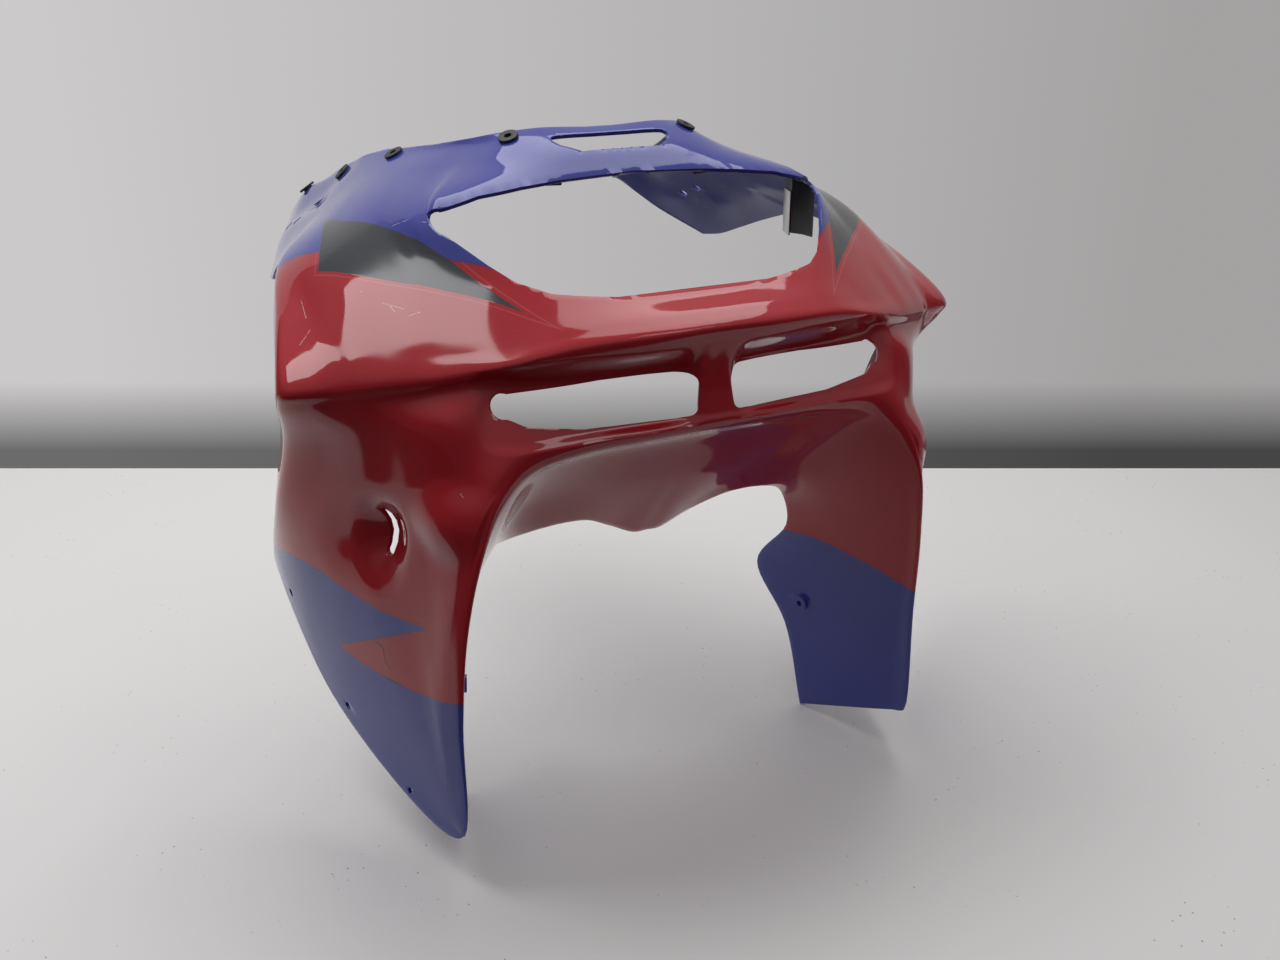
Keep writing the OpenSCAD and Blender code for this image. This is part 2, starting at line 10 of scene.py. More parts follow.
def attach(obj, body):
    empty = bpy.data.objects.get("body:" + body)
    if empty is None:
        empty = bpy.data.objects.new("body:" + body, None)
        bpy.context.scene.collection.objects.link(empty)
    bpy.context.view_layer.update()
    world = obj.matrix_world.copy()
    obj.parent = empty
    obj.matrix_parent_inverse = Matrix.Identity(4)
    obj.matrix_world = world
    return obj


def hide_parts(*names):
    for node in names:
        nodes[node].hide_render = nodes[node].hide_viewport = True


for name in ("Cube", "Light", "Camera"):
    if name in bpy.data.objects:
        bpy.data.objects.remove(bpy.data.objects[name])
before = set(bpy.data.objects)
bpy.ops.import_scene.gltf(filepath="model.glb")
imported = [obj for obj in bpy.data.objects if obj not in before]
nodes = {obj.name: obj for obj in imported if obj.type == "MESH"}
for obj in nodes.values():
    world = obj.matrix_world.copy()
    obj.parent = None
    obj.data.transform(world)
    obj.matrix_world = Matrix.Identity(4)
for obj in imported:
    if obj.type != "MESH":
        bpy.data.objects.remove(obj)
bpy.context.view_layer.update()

# The moulding is one sheet of ABS, 3 mm thick, pressed into the nose, the deck under the
# screen, the two ears and the two legs. It is made as a net of fifteen lines that run from the
# middle plane to the sides, thickened inwards, then holed and painted.
MM = 0.001
MIDDLE_Y = 258.487  # the net's Y at the frame's origin
FINE = 4  # fine cells along each side of a coarse cell of the net
WALL = 3.0
BROW, LEG, EAR = 283.0, 200.5, 174.0  # half widths
screen_edge = [
    (0, 188, 531), (11, 188, 531), (49, 191, 532), (80, 204, 528), (95, 221, 523),
    (106, 243, 518), (113, 261, 514), (119, 278, 511), (125, 294, 508), (131, 312, 505),
    (135, 325, 503), (140, 341, 499), (0.84 * EAR, 363, 493), (0.865 * EAR, 385, 485),
    (0.895 * EAR, 412, 476), (0.91 * EAR, 446, 464), (0.93 * EAR, 487, 449),
    (0.94 * EAR, 530, 428)]
nut_line = [
    (0, 175, 528), (11, 175, 528), (49, 177, 528), (76, 190, 526), (93, 207, 520),
    (106, 230, 515), (115, 249, 511), (122, 266, 508), (129, 283, 505), (136, 302, 502),
    (141, 316, 499), (146, 332, 495), (0.875 * EAR, 356, 488), (0.9 * EAR, 378, 480),
    (0.93 * EAR, 406, 470), (0.965 * EAR, 443, 459), (0.99 * EAR, 486, 447), (EAR, 535, 425)]
vent_line = [
    (0, 147, 519), (11, 147, 519), (50, 150, 518), (92, 166, 513), (112, 184, 508),
    (126, 206, 503), (135, 224, 501), (142, 240, 499), (149, 257, 496), (156, 274, 492),
    (161, 289, 488), (166, 305, 483), (EAR, 331, 473), (1.025 * EAR, 355, 465),
    (1.045 * EAR, 387, 453), (1.07 * EAR, 426, 440), (1.09 * EAR, 470, 427),
    (1.08 * EAR, 515, 412)]
shoulder = [
    (0, 130, 506), (11, 130, 506), (55, 129, 503), (105, 126, 498), (150, 123, 487),
    (166, 138, 482), (173, 157, 481), (178, 176, 480), (182, 196, 480), (187, 220, 478),
    (191, 238, 475), (195, 258, 471), (1.145 * EAR, 292, 462), (1.16 * EAR, 322, 453),
    (1.18 * EAR, 362, 441), (1.2 * EAR, 404, 427), (1.2 * EAR, 446, 412),
    (1.17 * EAR, 490, 397)]
flank = [
    (0, 25, 439), (11, 25, 439), (48, 27, 440), (92, 33, 442), (128, 52, 444),
    (157, 78, 446), (176, 101, 449), (189, 120, 451), (205, 141, 453), (218, 161, 454),
    (229, 183, 452), (237, 206, 449), (0.868 * BROW, 243, 439), (0.855 * BROW, 270, 431),
    (0.838 * BROW, 322, 414), (0.824 * BROW, 364, 398), (0.811 * BROW, 399, 385),
    (0.797 * BROW, 430, 379)]
brow_top = [
    (0, -6, 428.5), (11, -6, 428.5), (46, -5, 428), (101, 4, 424), (143, 21, 415),
    (168, 36, 411), (186, 50, 409), (201, 62, 409), (215, 76, 409), (229, 91, 410),
    (241, 105, 410), (252, 121, 410), (0.95 * BROW, 150, 411), (0.943 * BROW, 182, 411)]
brow_edge = [
    (0, -18, 421), (11, -18, 421), (46, -17, 420), (104, -6, 415.5), (147, 10, 405),
    (171, 24, 399), (190, 36, 394), (206, 47, 391), (221, 58, 388), (236, 69, 385),
    (250, 80, 382), (266, 86, 381), (BROW, 98, 378), (0.985 * BROW, 134, 376)]
brow_under = [
    (0, -14, 410), (11, -14, 410), (46, -13, 409), (104, -2, 404), (147, 13, 395),
    (171, 27, 389), (190, 39, 384), (206, 50, 380), (221, 61, 377), (236, 72, 374),
    (250, 83, 371), (266, 91, 369), (0.998 * BROW, 106, 366), (0.983 * BROW, 140, 363)]
intake_top = [
    (0, -8, 386), (11, -8, 386), (47, -1, 385), (105, 5, 383), (147, 13, 380),
    (173, 18, 374), (188, 22, 368), (200, 31, 361), (211, 44, 354), (223, 62, 347),
    (237, 81, 341), (252, 105, 334), (0.97 * BROW, 141, 326), (0.966 * BROW, 173, 322)]
intake_bottom = [
    (0, -12, 358), (11, -12, 358), (47, -10, 356), (104, -6, 357), (146, 0, 360),
    (172, 5, 346), (185, 8, 330), (196, 18, 310), (208, 36, 290), (222, 60, 274),
    (240, 90, 262), (259, 128, 258), (0.99 * BROW, 178, 262), (0.975 * BROW, 208, 264)]
lip_front = [
    (0, -15, 352), (11, -15, 352), (47, -14, 351), (102, -10, 350), (143, -8, 344),
    (170, -9, 322), (187, -7, 284), (200, 2, 220), (1.03 * LEG, 12, 145),
    (1.033 * LEG, 14, 66), (1.085 * LEG, 44, 70), (0.905 * BROW, 146, 118),
    (0.99 * BROW, 222, 208), (0.975 * BROW, 246, 212)]
arch = [
    (0, -10, 344), (11, -10, 344), (47, -9, 343), (100, -6, 341), (140, -6, 334),
    (165, -12, 318), (0.903 * LEG, -16, 283), (0.96 * LEG, -9, 220), (0.985 * LEG, -2, 145),
    (LEG, 1, 47), (1.05 * LEG, 26, 38), (0.912 * BROW, 158, 97), (0.985 * BROW, 240, 187),
    (0.972 * BROW, 262, 193)]
roll_back = [
    (0, 6, 334), (11, 6, 334), (46, 7, 333), (97, 8, 331), (134, 8, 322), (157, 2, 303),
    (0.882 * LEG, -2, 268), (0.944 * LEG, 3, 212), (0.967 * LEG, 11, 138),
    (0.975 * LEG, 15, 40)]
panel_middle = [
    (0, 52, 278), (11, 52, 278), (40, 50, 282), (80, 48, 290), (122, 58, 278),
    (152, 62, 240), (0.83 * LEG, 72, 200), (0.858 * LEG, 74, 160), (0.888 * LEG, 66, 100),
    (0.898 * LEG, 62, 20)]
panel_edge = [
    (0, 103, 217), (11, 103, 217), (36, 98, 230), (65, 84, 246), (105, 90, 242),
    (138, 116, 218), (0.76 * LEG, 130, 180), (0.713 * LEG, 162, 131), (0.783 * LEG, 131, 78),
    (0.82 * LEG, 110, 0)]
net_lines = [screen_edge, nut_line, vent_line, shoulder, flank, brow_top, brow_edge,
             brow_under, intake_top, intake_bottom, lip_front, arch, roll_back, panel_middle,
             panel_edge]
line_steps = [FINE * n for n in (1, 2, 1, 4, 2, 2, 2, 3, 3, 5, 2, 2, 3, 3)]
station_steps = [FINE * n for n in (2, 3, 4, 4, 3, 2, 2, 2, 2, 2, 3, 3, 2, 2, 2, 2, 2)]
line_row = np.concatenate([[0], np.cumsum(line_steps)])
station_col = np.concatenate([[0], np.cumsum(station_steps)])
SHOULDER_LINE, FLANK_LINE, BROW_LINE, EDGE_LINE, UNDER_LINE = 3, 4, 5, 6, 7
LIP_LINE, ARCH_LINE = 10, 11
TIP_STATION, SIDE_STATION = 9, 13


def smooth_run(points, steps, before):
    """Curve through all the points, paced by the root of each chord."""
    p = np.vstack([before, points, 2 * points[-1] - points[-2]])
    run = []
    for i in range(len(points) - 1):
        a, b, c, d = p[i:i + 4]
        k1, kb, kc = (max(np.linalg.norm(v), 0.001) ** 0.5 for v in (b - a, c - b, d - c))
        k2, k3 = k1 + kb, k1 + kb + kc
        for s in range(steps[i]):
            t = s / steps[i]
            k = k1 + (k2 - k1) * t
            ab, bc = a + (b - a) * k / k1, b + (c - b) * t
            cd = c + (d - c) * (k - k2) / (k3 - k2)
            abc, bcd = ab + (bc - ab) * k / k2, bc + (cd - bc) * (k - k1) / (k3 - k1)
            run.append(abc + (bcd - abc) * t)
    run.append(points[-1])
    return np.array(run)


FLIP = np.array([-1.0, 1.0, 1.0])
across = []
for line in net_lines:
    line = np.array(line, float)
    across.append(smooth_run(line, station_steps, line[1] * FLIP))
cols, rows = int(station_col[-1]) + 1, int(line_row[-1]) + 1
last_row = np.full(cols, line_row[FLANK_LINE])
last_row[:station_col[SIDE_STATION] + 1] = line_row[ARCH_LINE]
last_row[:station_col[TIP_STATION] + 1] = line_row[-1]
net = np.full((cols, rows, 3), np.nan)
for j in range(cols):
    column = np.array([run[j] for run in across if j < len(run)])
    if j > station_col[TIP_STATION]:
        column = column[:ARCH_LINE + 1]
    if j > station_col[SIDE_STATION]:
        column = column[:FLANK_LINE + 1]
    net[j, :last_row[j] + 1] = smooth_run(column, line_steps, 2 * column[0] - column[1])


def normals_of(grid):
    """Outward normal at each point of the half net, square to the middle plane at its start."""
    padded = np.concatenate([grid[1:2] * FLIP, grid, grid[-1:]], axis=0)
    ahead, behind = padded[2:].copy(), padded[:-2]
    missing = np.isnan(ahead[..., 0])
    ahead[missing] = grid[missing]
    down, up = np.roll(grid, -1, axis=1), np.roll(grid, 1, axis=1)
    up[:, 0] = grid[:, 0]
    down[:, -1] = grid[:, -1]
    bottom = np.isnan(down[..., 0])
    down[bottom] = grid[bottom]
    n = np.cross(down - up, ahead - behind)
    return n / np.linalg.norm(n, axis=2, keepdims=True)


def clamp01(v):
    """The values, held between 0 and 1."""
    return np.clip(v, 0.0, 1.0)


def rounded(corners, r):
    """Corners drawn in by r, so that a distance of r from them gives the rounded outline."""
    p = np.array(corners, float)
    a, b = p - np.roll(p, 1, axis=0), np.roll(p, -1, axis=0) - p
    na, nb = (np.stack([-v[:, 1], v[:, 0]], 1) / np.linalg.norm(v, axis=1, keepdims=True)
              for v in (a, b))
    m = na + nb
    return p + m * r / (m * na).sum(1, keepdims=True)


def nearest_on(q, outline):
    """For each point of q: the nearest point of a closed outline, and whether q is inside."""
    best, best_d = np.zeros_like(q), np.full(len(q), np.inf)
    crossings = np.zeros(len(q), int)
    for a, b in zip(outline, np.roll(outline, -1, axis=0)):
        t = clamp01(((q - a) @ (b - a)) / ((b - a) @ (b - a)))
        c = a + t[:, None] * (b - a)
        d = np.linalg.norm(q - c, axis=1)
        closer = d < best_d
        best[closer], best_d[closer] = c[closer], d[closer]
        spans = (a[1] > q[:, 1]) != (b[1] > q[:, 1])
        rise = b[1] - a[1] if b[1] != a[1] else 1.0
        crossings += spans & (q[:, 0] < a[0] + (b[0] - a[0]) * (q[:, 1] - a[1]) / rise)
    return best, best_d, crossings % 2 == 1


STRUT, STRUT_RUN, INTAKE_REACH, INTAKE_LOW, INTAKE_HIGH = 12.0, 16.0, 163.0, 356.0, 386.0
LIP_DEPTH, HOLLOW_DEPTH, INTAKE_R, LIGHT_R, VENT_R = 4.0, 11.0, 7.0, 7.0, 2.0
intake_outline = rounded([
    (STRUT + 3, INTAKE_LOW + 1), (STRUT + 18, INTAKE_LOW), (98, INTAKE_LOW + 1),
    (137, INTAKE_LOW + 6), (INTAKE_REACH, INTAKE_HIGH - 12), (153, INTAKE_HIGH - 5),
    (81, INTAKE_HIGH - 1), (STRUT, INTAKE_HIGH)], INTAKE_R)
light_outline = rounded([
    (-60, 439), (60, 439), (104, 443), (123, 449), (136, 458), (162, 480), (159.6, 487),
    (123, 496), (91, 500), (58, 502.5), (0, 505), (-60, 505)], LIGHT_R)
vent_outline = rounded([
    (-30, 147), (32.7, 148), (45.5, 159), (49.5, 168.6), (47.5, 174), (-30, 174)], VENT_R)


def bump(y, z, height, middle, turn, a, b):
    """Round bump on the side, with half sizes a and b, turned by an angle in degrees."""
    dy, dz = y - middle[0], z - middle[1]
    c, s = math.cos(math.radians(turn)), math.sin(math.radians(turn))
    r = ((dy * c + dz * s) / a) ** 2 + ((dz * c - dy * s) / b) ** 2
    return height * np.where(r < 1, (1 - np.minimum(r, 1)) ** 2, 0)


# Forms pressed into the net: a mound and two dishes on the side, each with its height, middle in
# Y and Z, turn and half sizes, and the hollow round the intakes, which runs out over some mm.
MOUND = (9.0, (12, 298), 0, 36, 34)
DISH = (8.0, (86, 266), -38, 62, 38)
POCKET = (14.0, (74, 266), -76, 40, 27)
OUTER_START, OUTER_RUN, UPPER_RUN, LOWER_RUN, BAND_OVER = 14.0, 22.0, 24.0, 8.0, 10.0
HOLLOW_POWER = 1.5
SIDE_FROM = 0.8 * LEG
x, y, z = net[..., 0], net[..., 1], net[..., 2]
row_of = np.broadcast_to(np.arange(rows), x.shape)
near_strut = clamp01((STRUT + STRUT_RUN - x) / STRUT_RUN)
side_way = near_strut + np.maximum(x - INTAKE_REACH + OUTER_START, 0) / OUTER_RUN
up_way = np.maximum(z - INTAKE_HIGH, 0) / UPPER_RUN
down_way = np.maximum(INTAKE_LOW - z, 0) / LOWER_RUN
q = side_way ** 2 + up_way ** 2 + down_way ** 2
depth = LIP_DEPTH + (HOLLOW_DEPTH - LIP_DEPTH) * clamp01(
    (z - INTAKE_LOW) / (INTAKE_HIGH - INTAKE_LOW))
band = (row_of > line_row[EDGE_LINE]) & (row_of <= line_row[LIP_LINE])
band &= x < INTAKE_REACH + BAND_OVER
hollow = np.where(band & (q < 1), depth * (1 - np.minimum(q, 1)) ** HOLLOW_POWER, 0)
relief = bump(y, z, *MOUND) - bump(y, z, *DISH) - bump(y, z, *POCKET)
on_side = (row_of > line_row[UNDER_LINE]) & (row_of < line_row[ARCH_LINE] - FINE)
relief = np.where(on_side & (x > SIDE_FROM), relief, 0)
formed = net + normals_of(net) * relief[..., None]
formed[..., 1] += hollow
outward = normals_of(formed)

# Openings of the net: cells inside an outline are left out, and the points on the rim slide
# along the surface onto the rounded outline. Each has a number, an outline, its corner radius,
# the two axes it is drawn in, and the first and last row it cuts.
SLIDE_PASSES, MAX_LIFT = 14, 6.0
middle = (formed[:-1, :-1] + formed[:-1, 1:] + formed[1:, :-1] + formed[1:, 1:]) / 4
cell = np.where(np.arange(rows - 1)[None, :] >= last_row[1:, None], -1, 0)
openings = [
    (1, light_outline, LIGHT_R, (0, 2), line_row[SHOULDER_LINE], line_row[BROW_LINE]),
    (2, vent_outline, VENT_R, (0, 1), 0, line_row[SHOULDER_LINE]),
    (3, intake_outline, INTAKE_R, (0, 2), line_row[EDGE_LINE], line_row[LIP_LINE])]
for kind, outline, r, seen, low, high in openings:
    area = middle[:, low:high].reshape(-1, 3)
    ok = ~np.isnan(area[:, 0])
    best, d, within = nearest_on(np.where(ok[:, None], area, 0)[:, seen], outline)
    gap = np.where(within, -d, d) - r
    out = (ok & (gap < 0)).reshape(cols - 1, high - low)
    part = cell[:, low:high]
    part[(part == 0) & out] = kind
around = np.full((cols + 1, rows + 1, 4), -1)
around[1:-1, 1:-1, 0] = cell
around[0, 1:-1, 0] = cell[0]
full = around[..., 0]
corners = np.stack([full[:-1, :-1], full[:-1, 1:], full[1:, :-1], full[1:, 1:]], -1)
slide, held = np.zeros_like(formed), np.zeros(x.shape, bool)
for kind, outline, r, seen, low, high in openings:
    rim = (corners.max(-1) == kind) & (corners.min(-1) < kind)
    p, n = formed[rim], outward[rim]
    best, d, within = nearest_on(p[:, seen], outline)
    away = np.where(within[:, None], best - p[:, seen], p[:, seen] - best)
    target = best + r * away / np.linalg.norm(away, axis=1, keepdims=True)
    shift = np.zeros_like(p)
    shift[:, list(seen)] = target - p[:, seen]
    third = 3 - sum(seen)
    lift = -(n * shift).sum(1) / n[:, third]
    shift[:, third] = np.clip(lift, -MAX_LIFT, MAX_LIFT)
    slide[rim], held[rim] = shift, True
free = ~held & ~np.isnan(x)
for _ in range(SLIDE_PASSES):
    padded = np.pad(slide, ((1, 1), (1, 1), (0, 0)), mode="edge")
    padded[0, 1:-1] = slide[1] * FLIP
    spread_out = (padded[:-2, 1:-1] + padded[2:, 1:-1] + padded[1:-1, :-2]
                  + padded[1:-1, 2:]) / 4
    slide[free] = spread_out[free]
slide[0, :, 0] = 0
skin = formed + slide
skin[0, :, 0] = 0


# Paint edges, each stored on the points as a distance in mm, so that the shader cuts them sharp
# and the tips where two of them meet stay pointed. In the part's frame, the wedge curves run in
# Y and X, blue_top is a closed outline in X and Y, and the others run in Y and Z.
PAINT_REACH = 20.0


def under_curve(curve, along, value):
    """Signed distance of a value under a curve of (place, height) points, run on past its ends."""
    a, h = np.array(curve, float).T
    k = np.clip(np.searchsorted(a, along) - 1, 0, len(a) - 2)
    slope = (h[k + 1] - h[k]) / (a[k + 1] - a[k])
    gap = (h[k] + slope * (along - a[k]) - value) / np.hypot(1, slope)
    return np.clip(gap, -PAINT_REACH, PAINT_REACH)


wedge_inner = [
    (-224, 125.1), (-205.4, 135.9), (-183.6, 147.4), (-165.5, 156.2), (-151.6, 163.9),
    (-122.4, 175.9), (-96, 184.1), (-69.4, 194.1), (-48.3, 202), (-10.9, 209.9)]
wedge_outer = [
    (-224, 125.1), (-209.5, 137.6), (-195, 150.4), (-180.8, 163.6), (-158.6, 182.5),
    (-137.8, 201.1), (-114.4, 220.3), (-91.1, 234.6)]
wedge_rear = [(-91.1, 234.6), (-62.5, 224.6), (-10.9, 209.9)]
blue_top = np.array([
    (-90, -193), (129, -193), (155.5, -166), (190, -115), (228.2, -70.4), (234, -62.2),
    (238.6, -51), (262, -12), (330, 60), (330, 330), (-90, 330)])
spear_top = [
    (-229.5, 211.2), (-206.4, 209.4), (-183.4, 209.4), (-146.4, 214.4), (-125.6, 218.8),
    (-98.5, 221), (-79.5, 219), (-42, 211), (0, 200), (60, 196)]
spear_low = [(-229.5, 211.2), (-206, 198.6), (-181.2, 185.4), (-157, 172.3), (-126, 155.8)]
leg_edge = [
    (-300, 165), (-262, 164), (-256.9, 162.6), (-248.1, 160.1), (-237.2, 157.2),
    (-214.5, 153.3), (-182.1, 151.9), (-152.8, 152.2), (-126, 155.8)]
panel_line = [
    (-262, 165), (-246.3, 167.6), (-221.9, 172.5), (-183.4, 177.2), (-160, 178.3),
    (-144.8, 176.3), (-128.7, 173.4), (60, 168)]
flat = skin.reshape(-1, 3).copy()
flat[:, 1] -= MIDDLE_Y
known = ~np.isnan(flat[:, 0])
px, py, pz = flat[known].T
on_row = np.tile(np.arange(rows), cols)[known]
is_top, is_side = on_row <= line_row[EDGE_LINE], on_row <= line_row[ARCH_LINE]
best, d, within = nearest_on(np.stack([px, py], 1), blue_top)
top_field = np.clip(np.where(within, d, -d), -PAINT_REACH, PAINT_REACH)
panel_field = under_curve(panel_line, py, pz)
side_fields = [under_curve(spear_top, py, pz), -under_curve(spear_low, py, pz),
               under_curve(leg_edge, py, pz)]
wedge_fields = [-under_curve(wedge_inner, py, px), under_curve(wedge_outer, py, px),
                under_curve(wedge_rear, py, px)]
paint = np.full((6, len(flat)), -PAINT_REACH)
for k in range(3):
    paint[k, known] = np.where(is_top, top_field, np.where(is_side, side_fields[k], panel_field))
    paint[k + 3, known] = np.where(is_top, wedge_fields[k], -PAINT_REACH)
PAINT_NAMES = ["blue_a", "blue_b", "blue_c", "grey_a", "grey_b", "grey_c"]

moulding = bpy.data.meshes.new("moulding")
build = bmesh.new()
layers = [build.verts.layers.float.new(name) for name in PAINT_NAMES]
corner = {}


def net_vert(side, j, i):
    """The vert of the net at column j and row i on one side, made once; both share column 0."""
    key = (side if j else 1, j, i)
    if key not in corner:
        vx, vy, vz = skin[j, i]
        corner[key] = build.verts.new((side * vx * MM, (vy - MIDDLE_Y) * MM, vz * MM))
        for layer, values in zip(layers, paint):
            corner[key][layer] = values[j * rows + i]
    return corner[key]


for j in range(cols - 1):
    for i in range(rows - 1):
        if cell[j, i] == 0:
            for side in (1, -1):
                loop = [net_vert(side, j, i), net_vert(side, j, i + 1),
                        net_vert(side, j + 1, i + 1), net_vert(side, j + 1, i)]
                build.faces.new(loop if side > 0 else loop[::-1])
for face in build.faces:
    face.smooth = True
build.to_mesh(moulding)
build.free()
gloss_paint = bpy.data.materials.new("gloss_paint")
lining = bpy.data.materials.new("inner_paint")
moulding.materials.append(gloss_paint)
moulding.materials.append(lining)
shell = bpy.data.objects.new("fairing_shell", moulding)
bpy.context.scene.collection.objects.link(shell)
wall = shell.modifiers.new("wall", "SOLIDIFY")
wall.thickness = WALL * MM
wall.offset = -1
wall.material_offset = 1


def place_on(column, row):
    """A point of the surface in metres and its outward normal, on the rider's left. The place is
    counted in coarse cells of the net, and may lie between two columns and two rows."""
    j, i = column * FINE, row * FINE
    a, b = int(j), int(i)
    p, n = np.zeros(3), np.zeros(3)
    for da, wa in ((0, a + 1 - j), (1, j - a)):
        for db, wb in ((0, b + 1 - i), (1, i - b)):
            if wa * wb > 0:
                p += wa * wb * formed[a + da, b + db]
                n += wa * wb * outward[a + da, b + db]
    p[1] -= MIDDLE_Y
    return Vector(p * MM), Vector(n).normalized()


def turned(point, out, side=1):
    """Matrix that stands Z on the surface at a point, on the left (1) or the right (-1)."""
    p = Vector((point.x * side, point.y, point.z))
    n = Vector((out.x * side, out.y, out.z))
    return Matrix.Translation(p) @ n.to_track_quat("Z", "X").to_matrix().to_4x4()


NUT_HOLE, SCREW_HOLE, STAY_HOLE, BOSS_BORE, STAY_PITCH = 9.6, 6.5, 10.0, 5.2, 34.0
BOSS_D, BOSS_H, BOSS_FOOT, SLIT_H, SLIT_W, SLIT_REACH = 15.0, 4.0, 2.0, 38.0, 9.0, 23.5
SLIT_AT, SLIT_TURN = (225, 80 - MIDDLE_Y, 268), -25
NUT_ROW, NUT_COLUMNS = 1, (9, 24, 35, 40)
SCREW_CELLS, BOSS_CELL = [(26.85, 26.35), (28.55, 25.7), (30.85, 25.35)], (21.28, 33.76)
STAY_COLUMN, STAY_ROW = 38.3, 3.7
HOLE_SIDES, SLIT_SIDES = 40, 32
cutters = bmesh.new()


def drill(matrix, diameter, length=30.0):
    """Adds a round cutter, centred on the matrix along its Z."""
    bmesh.ops.create_cone(cutters, cap_ends=True, segments=HOLE_SIDES, radius1=diameter / 2 * MM,
                          radius2=diameter / 2 * MM, depth=length * MM, matrix=matrix)


nut_places = [place_on(column, NUT_ROW) for column in NUT_COLUMNS]
screw_places = [place_on(*spot) for spot in SCREW_CELLS]
boss_point, boss_out = place_on(*BOSS_CELL)
stay_point = place_on(STAY_COLUMN, STAY_ROW)[0]
stay_way = place_on(STAY_COLUMN + 1, STAY_ROW)[0] - place_on(STAY_COLUMN - 1, STAY_ROW)[0]
stay_way.normalize()
stay_down = place_on(STAY_COLUMN, 4)[0] - place_on(STAY_COLUMN, 3)[0]
stay_out = stay_down.cross(stay_way).normalized()
bosses = bmesh.new()
for side in (1, -1):
    for point, out in nut_places:
        drill(turned(point, out, side), NUT_HOLE)
    for point, out in screw_places:
        drill(turned(point, out, side), SCREW_HOLE)
    for way in (-1, 1):
        drill(turned(stay_point + stay_way * way * STAY_PITCH / 2 * MM, stay_out, side), STAY_HOLE)
    drill(turned(boss_point, boss_out, side), BOSS_BORE)
    stand = turned(boss_point, boss_out, side)
    stand = stand @ Matrix.Translation((0, 0, (BOSS_H - BOSS_FOOT) / 2 * MM))
    bmesh.ops.create_cone(bosses, cap_ends=True, segments=HOLE_SIDES, radius1=BOSS_D / 2 * MM,
                          radius2=BOSS_D / 2 * MM, depth=(BOSS_H + BOSS_FOOT) * MM, matrix=stand)
    slit_at = Matrix.Translation(Vector((SLIT_AT[0] * side, SLIT_AT[1], SLIT_AT[2])) * MM)
    slit_at = slit_at @ Matrix.Rotation(math.radians(SLIT_TURN) * side, 4, "Z")
    slit_profile = []
    for k in range(SLIT_SIDES):
        a = 2 * math.pi * k / SLIT_SIDES
        lift = (SLIT_H - SLIT_W) / 2 * (1 if math.sin(a) >= 0 else -1)
        slit_profile.append((math.cos(a) * SLIT_W / 2, math.sin(a) * SLIT_W / 2 + lift))
    near, far = [[cutters.verts.new(slit_at @ Vector((d * MM, v * MM, w * MM)))
                  for v, w in slit_profile] for d in (-SLIT_REACH, SLIT_REACH)]
    for k in range(SLIT_SIDES):
        m = (k + 1) % SLIT_SIDES
        cutters.faces.new([near[k], near[m], far[m], far[k]])
    cutters.faces.new(near[::-1])
    cutters.faces.new(far)
tools = []
for name, shape, operation in (("bosses", bosses, "UNION"), ("holes", cutters, "DIFFERENCE")):
    bmesh.ops.recalc_face_normals(shape, faces=shape.faces[:])
    tool_mesh = bpy.data.meshes.new(name)
    shape.to_mesh(tool_mesh)
    shape.free()
    tools.append(bpy.data.objects.new(name, tool_mesh))
    bpy.context.scene.collection.objects.link(tools[-1])
    step = shell.modifiers.new(name, "BOOLEAN")
    step.operation, step.solver, step.object = operation, "EXACT", tools[-1]


def made_plain(obj):
    """The object with its modifiers worked out and taken off."""
    depsgraph = bpy.context.evaluated_depsgraph_get()
    result = bpy.data.meshes.new_from_object(obj.evaluated_get(depsgraph))
    old = obj.data
    obj.modifiers.clear()
    obj.data = result
    bpy.data.meshes.remove(old)
    return obj


# Corners that the holes and bosses made have no paint yet, and take their nearest neighbour's.
# The bosses stand well inside the blue and are blue all over.
BOSS_REACH, UNPAINTED, EDGE_ANGLE, EDGE_ROUND = 9.5, 0.0001, 58, 0.8
BOSS_PAINT = [10.0, 10.0, 10.0, -PAINT_REACH, -PAINT_REACH, -PAINT_REACH]
made_plain(shell)
for tool in tools:
    bpy.data.objects.remove(tool)
count = len(shell.data.vertices)
coat = np.zeros((len(PAINT_NAMES), count), dtype=np.float32)
for name, values in zip(PAINT_NAMES, coat):
    shell.data.attributes[name].data.foreach_get("value", values)
bare = np.abs(coat).max(axis=0) < UNPAINTED
painted = KDTree(int((~bare).sum()))
for k in np.flatnonzero(~bare):
    painted.insert(shell.data.vertices[k].co, int(k))
painted.balance()
for k in np.flatnonzero(bare):
    coat[:, k] = coat[:, painted.find(shell.data.vertices[k].co)[1]]
for side in (1, -1):
    boss_middle = Vector((boss_point.x * side, boss_point.y, boss_point.z))
    for vert in shell.data.vertices:
        if (vert.co - boss_middle).length < BOSS_REACH * MM:
            coat[:, vert.index] = BOSS_PAINT
for name, values in zip(PAINT_NAMES, coat):
    shell.data.attributes[name].data.foreach_set("value", values)
rounding = shell.modifiers.new("rounding", "BEVEL")
rounding.limit_method = "ANGLE"
rounding.angle_limit = math.radians(EDGE_ANGLE)
rounding.width = EDGE_ROUND * MM
rounding.segments = 2
rounding.use_clamp_overlap = True
made_plain(shell)


def nodes_of(owner):
    """The emptied node tree of a material or a world."""
    owner.use_nodes = True
    tree = owner.node_tree
    tree.nodes.clear()
    return tree


def add(tree, kind, values=None, **props):
    """A new node with its properties set and each input given a constant or a link."""
    node = tree.nodes.new(kind)
    for key, value in props.items():
        setattr(node, key, value)
    for key, value in (values or {}).items():
        if isinstance(value, bpy.types.NodeSocket):
            tree.links.new(value, node.inputs[key])
        else:
            node.inputs[key].default_value = value
    return node


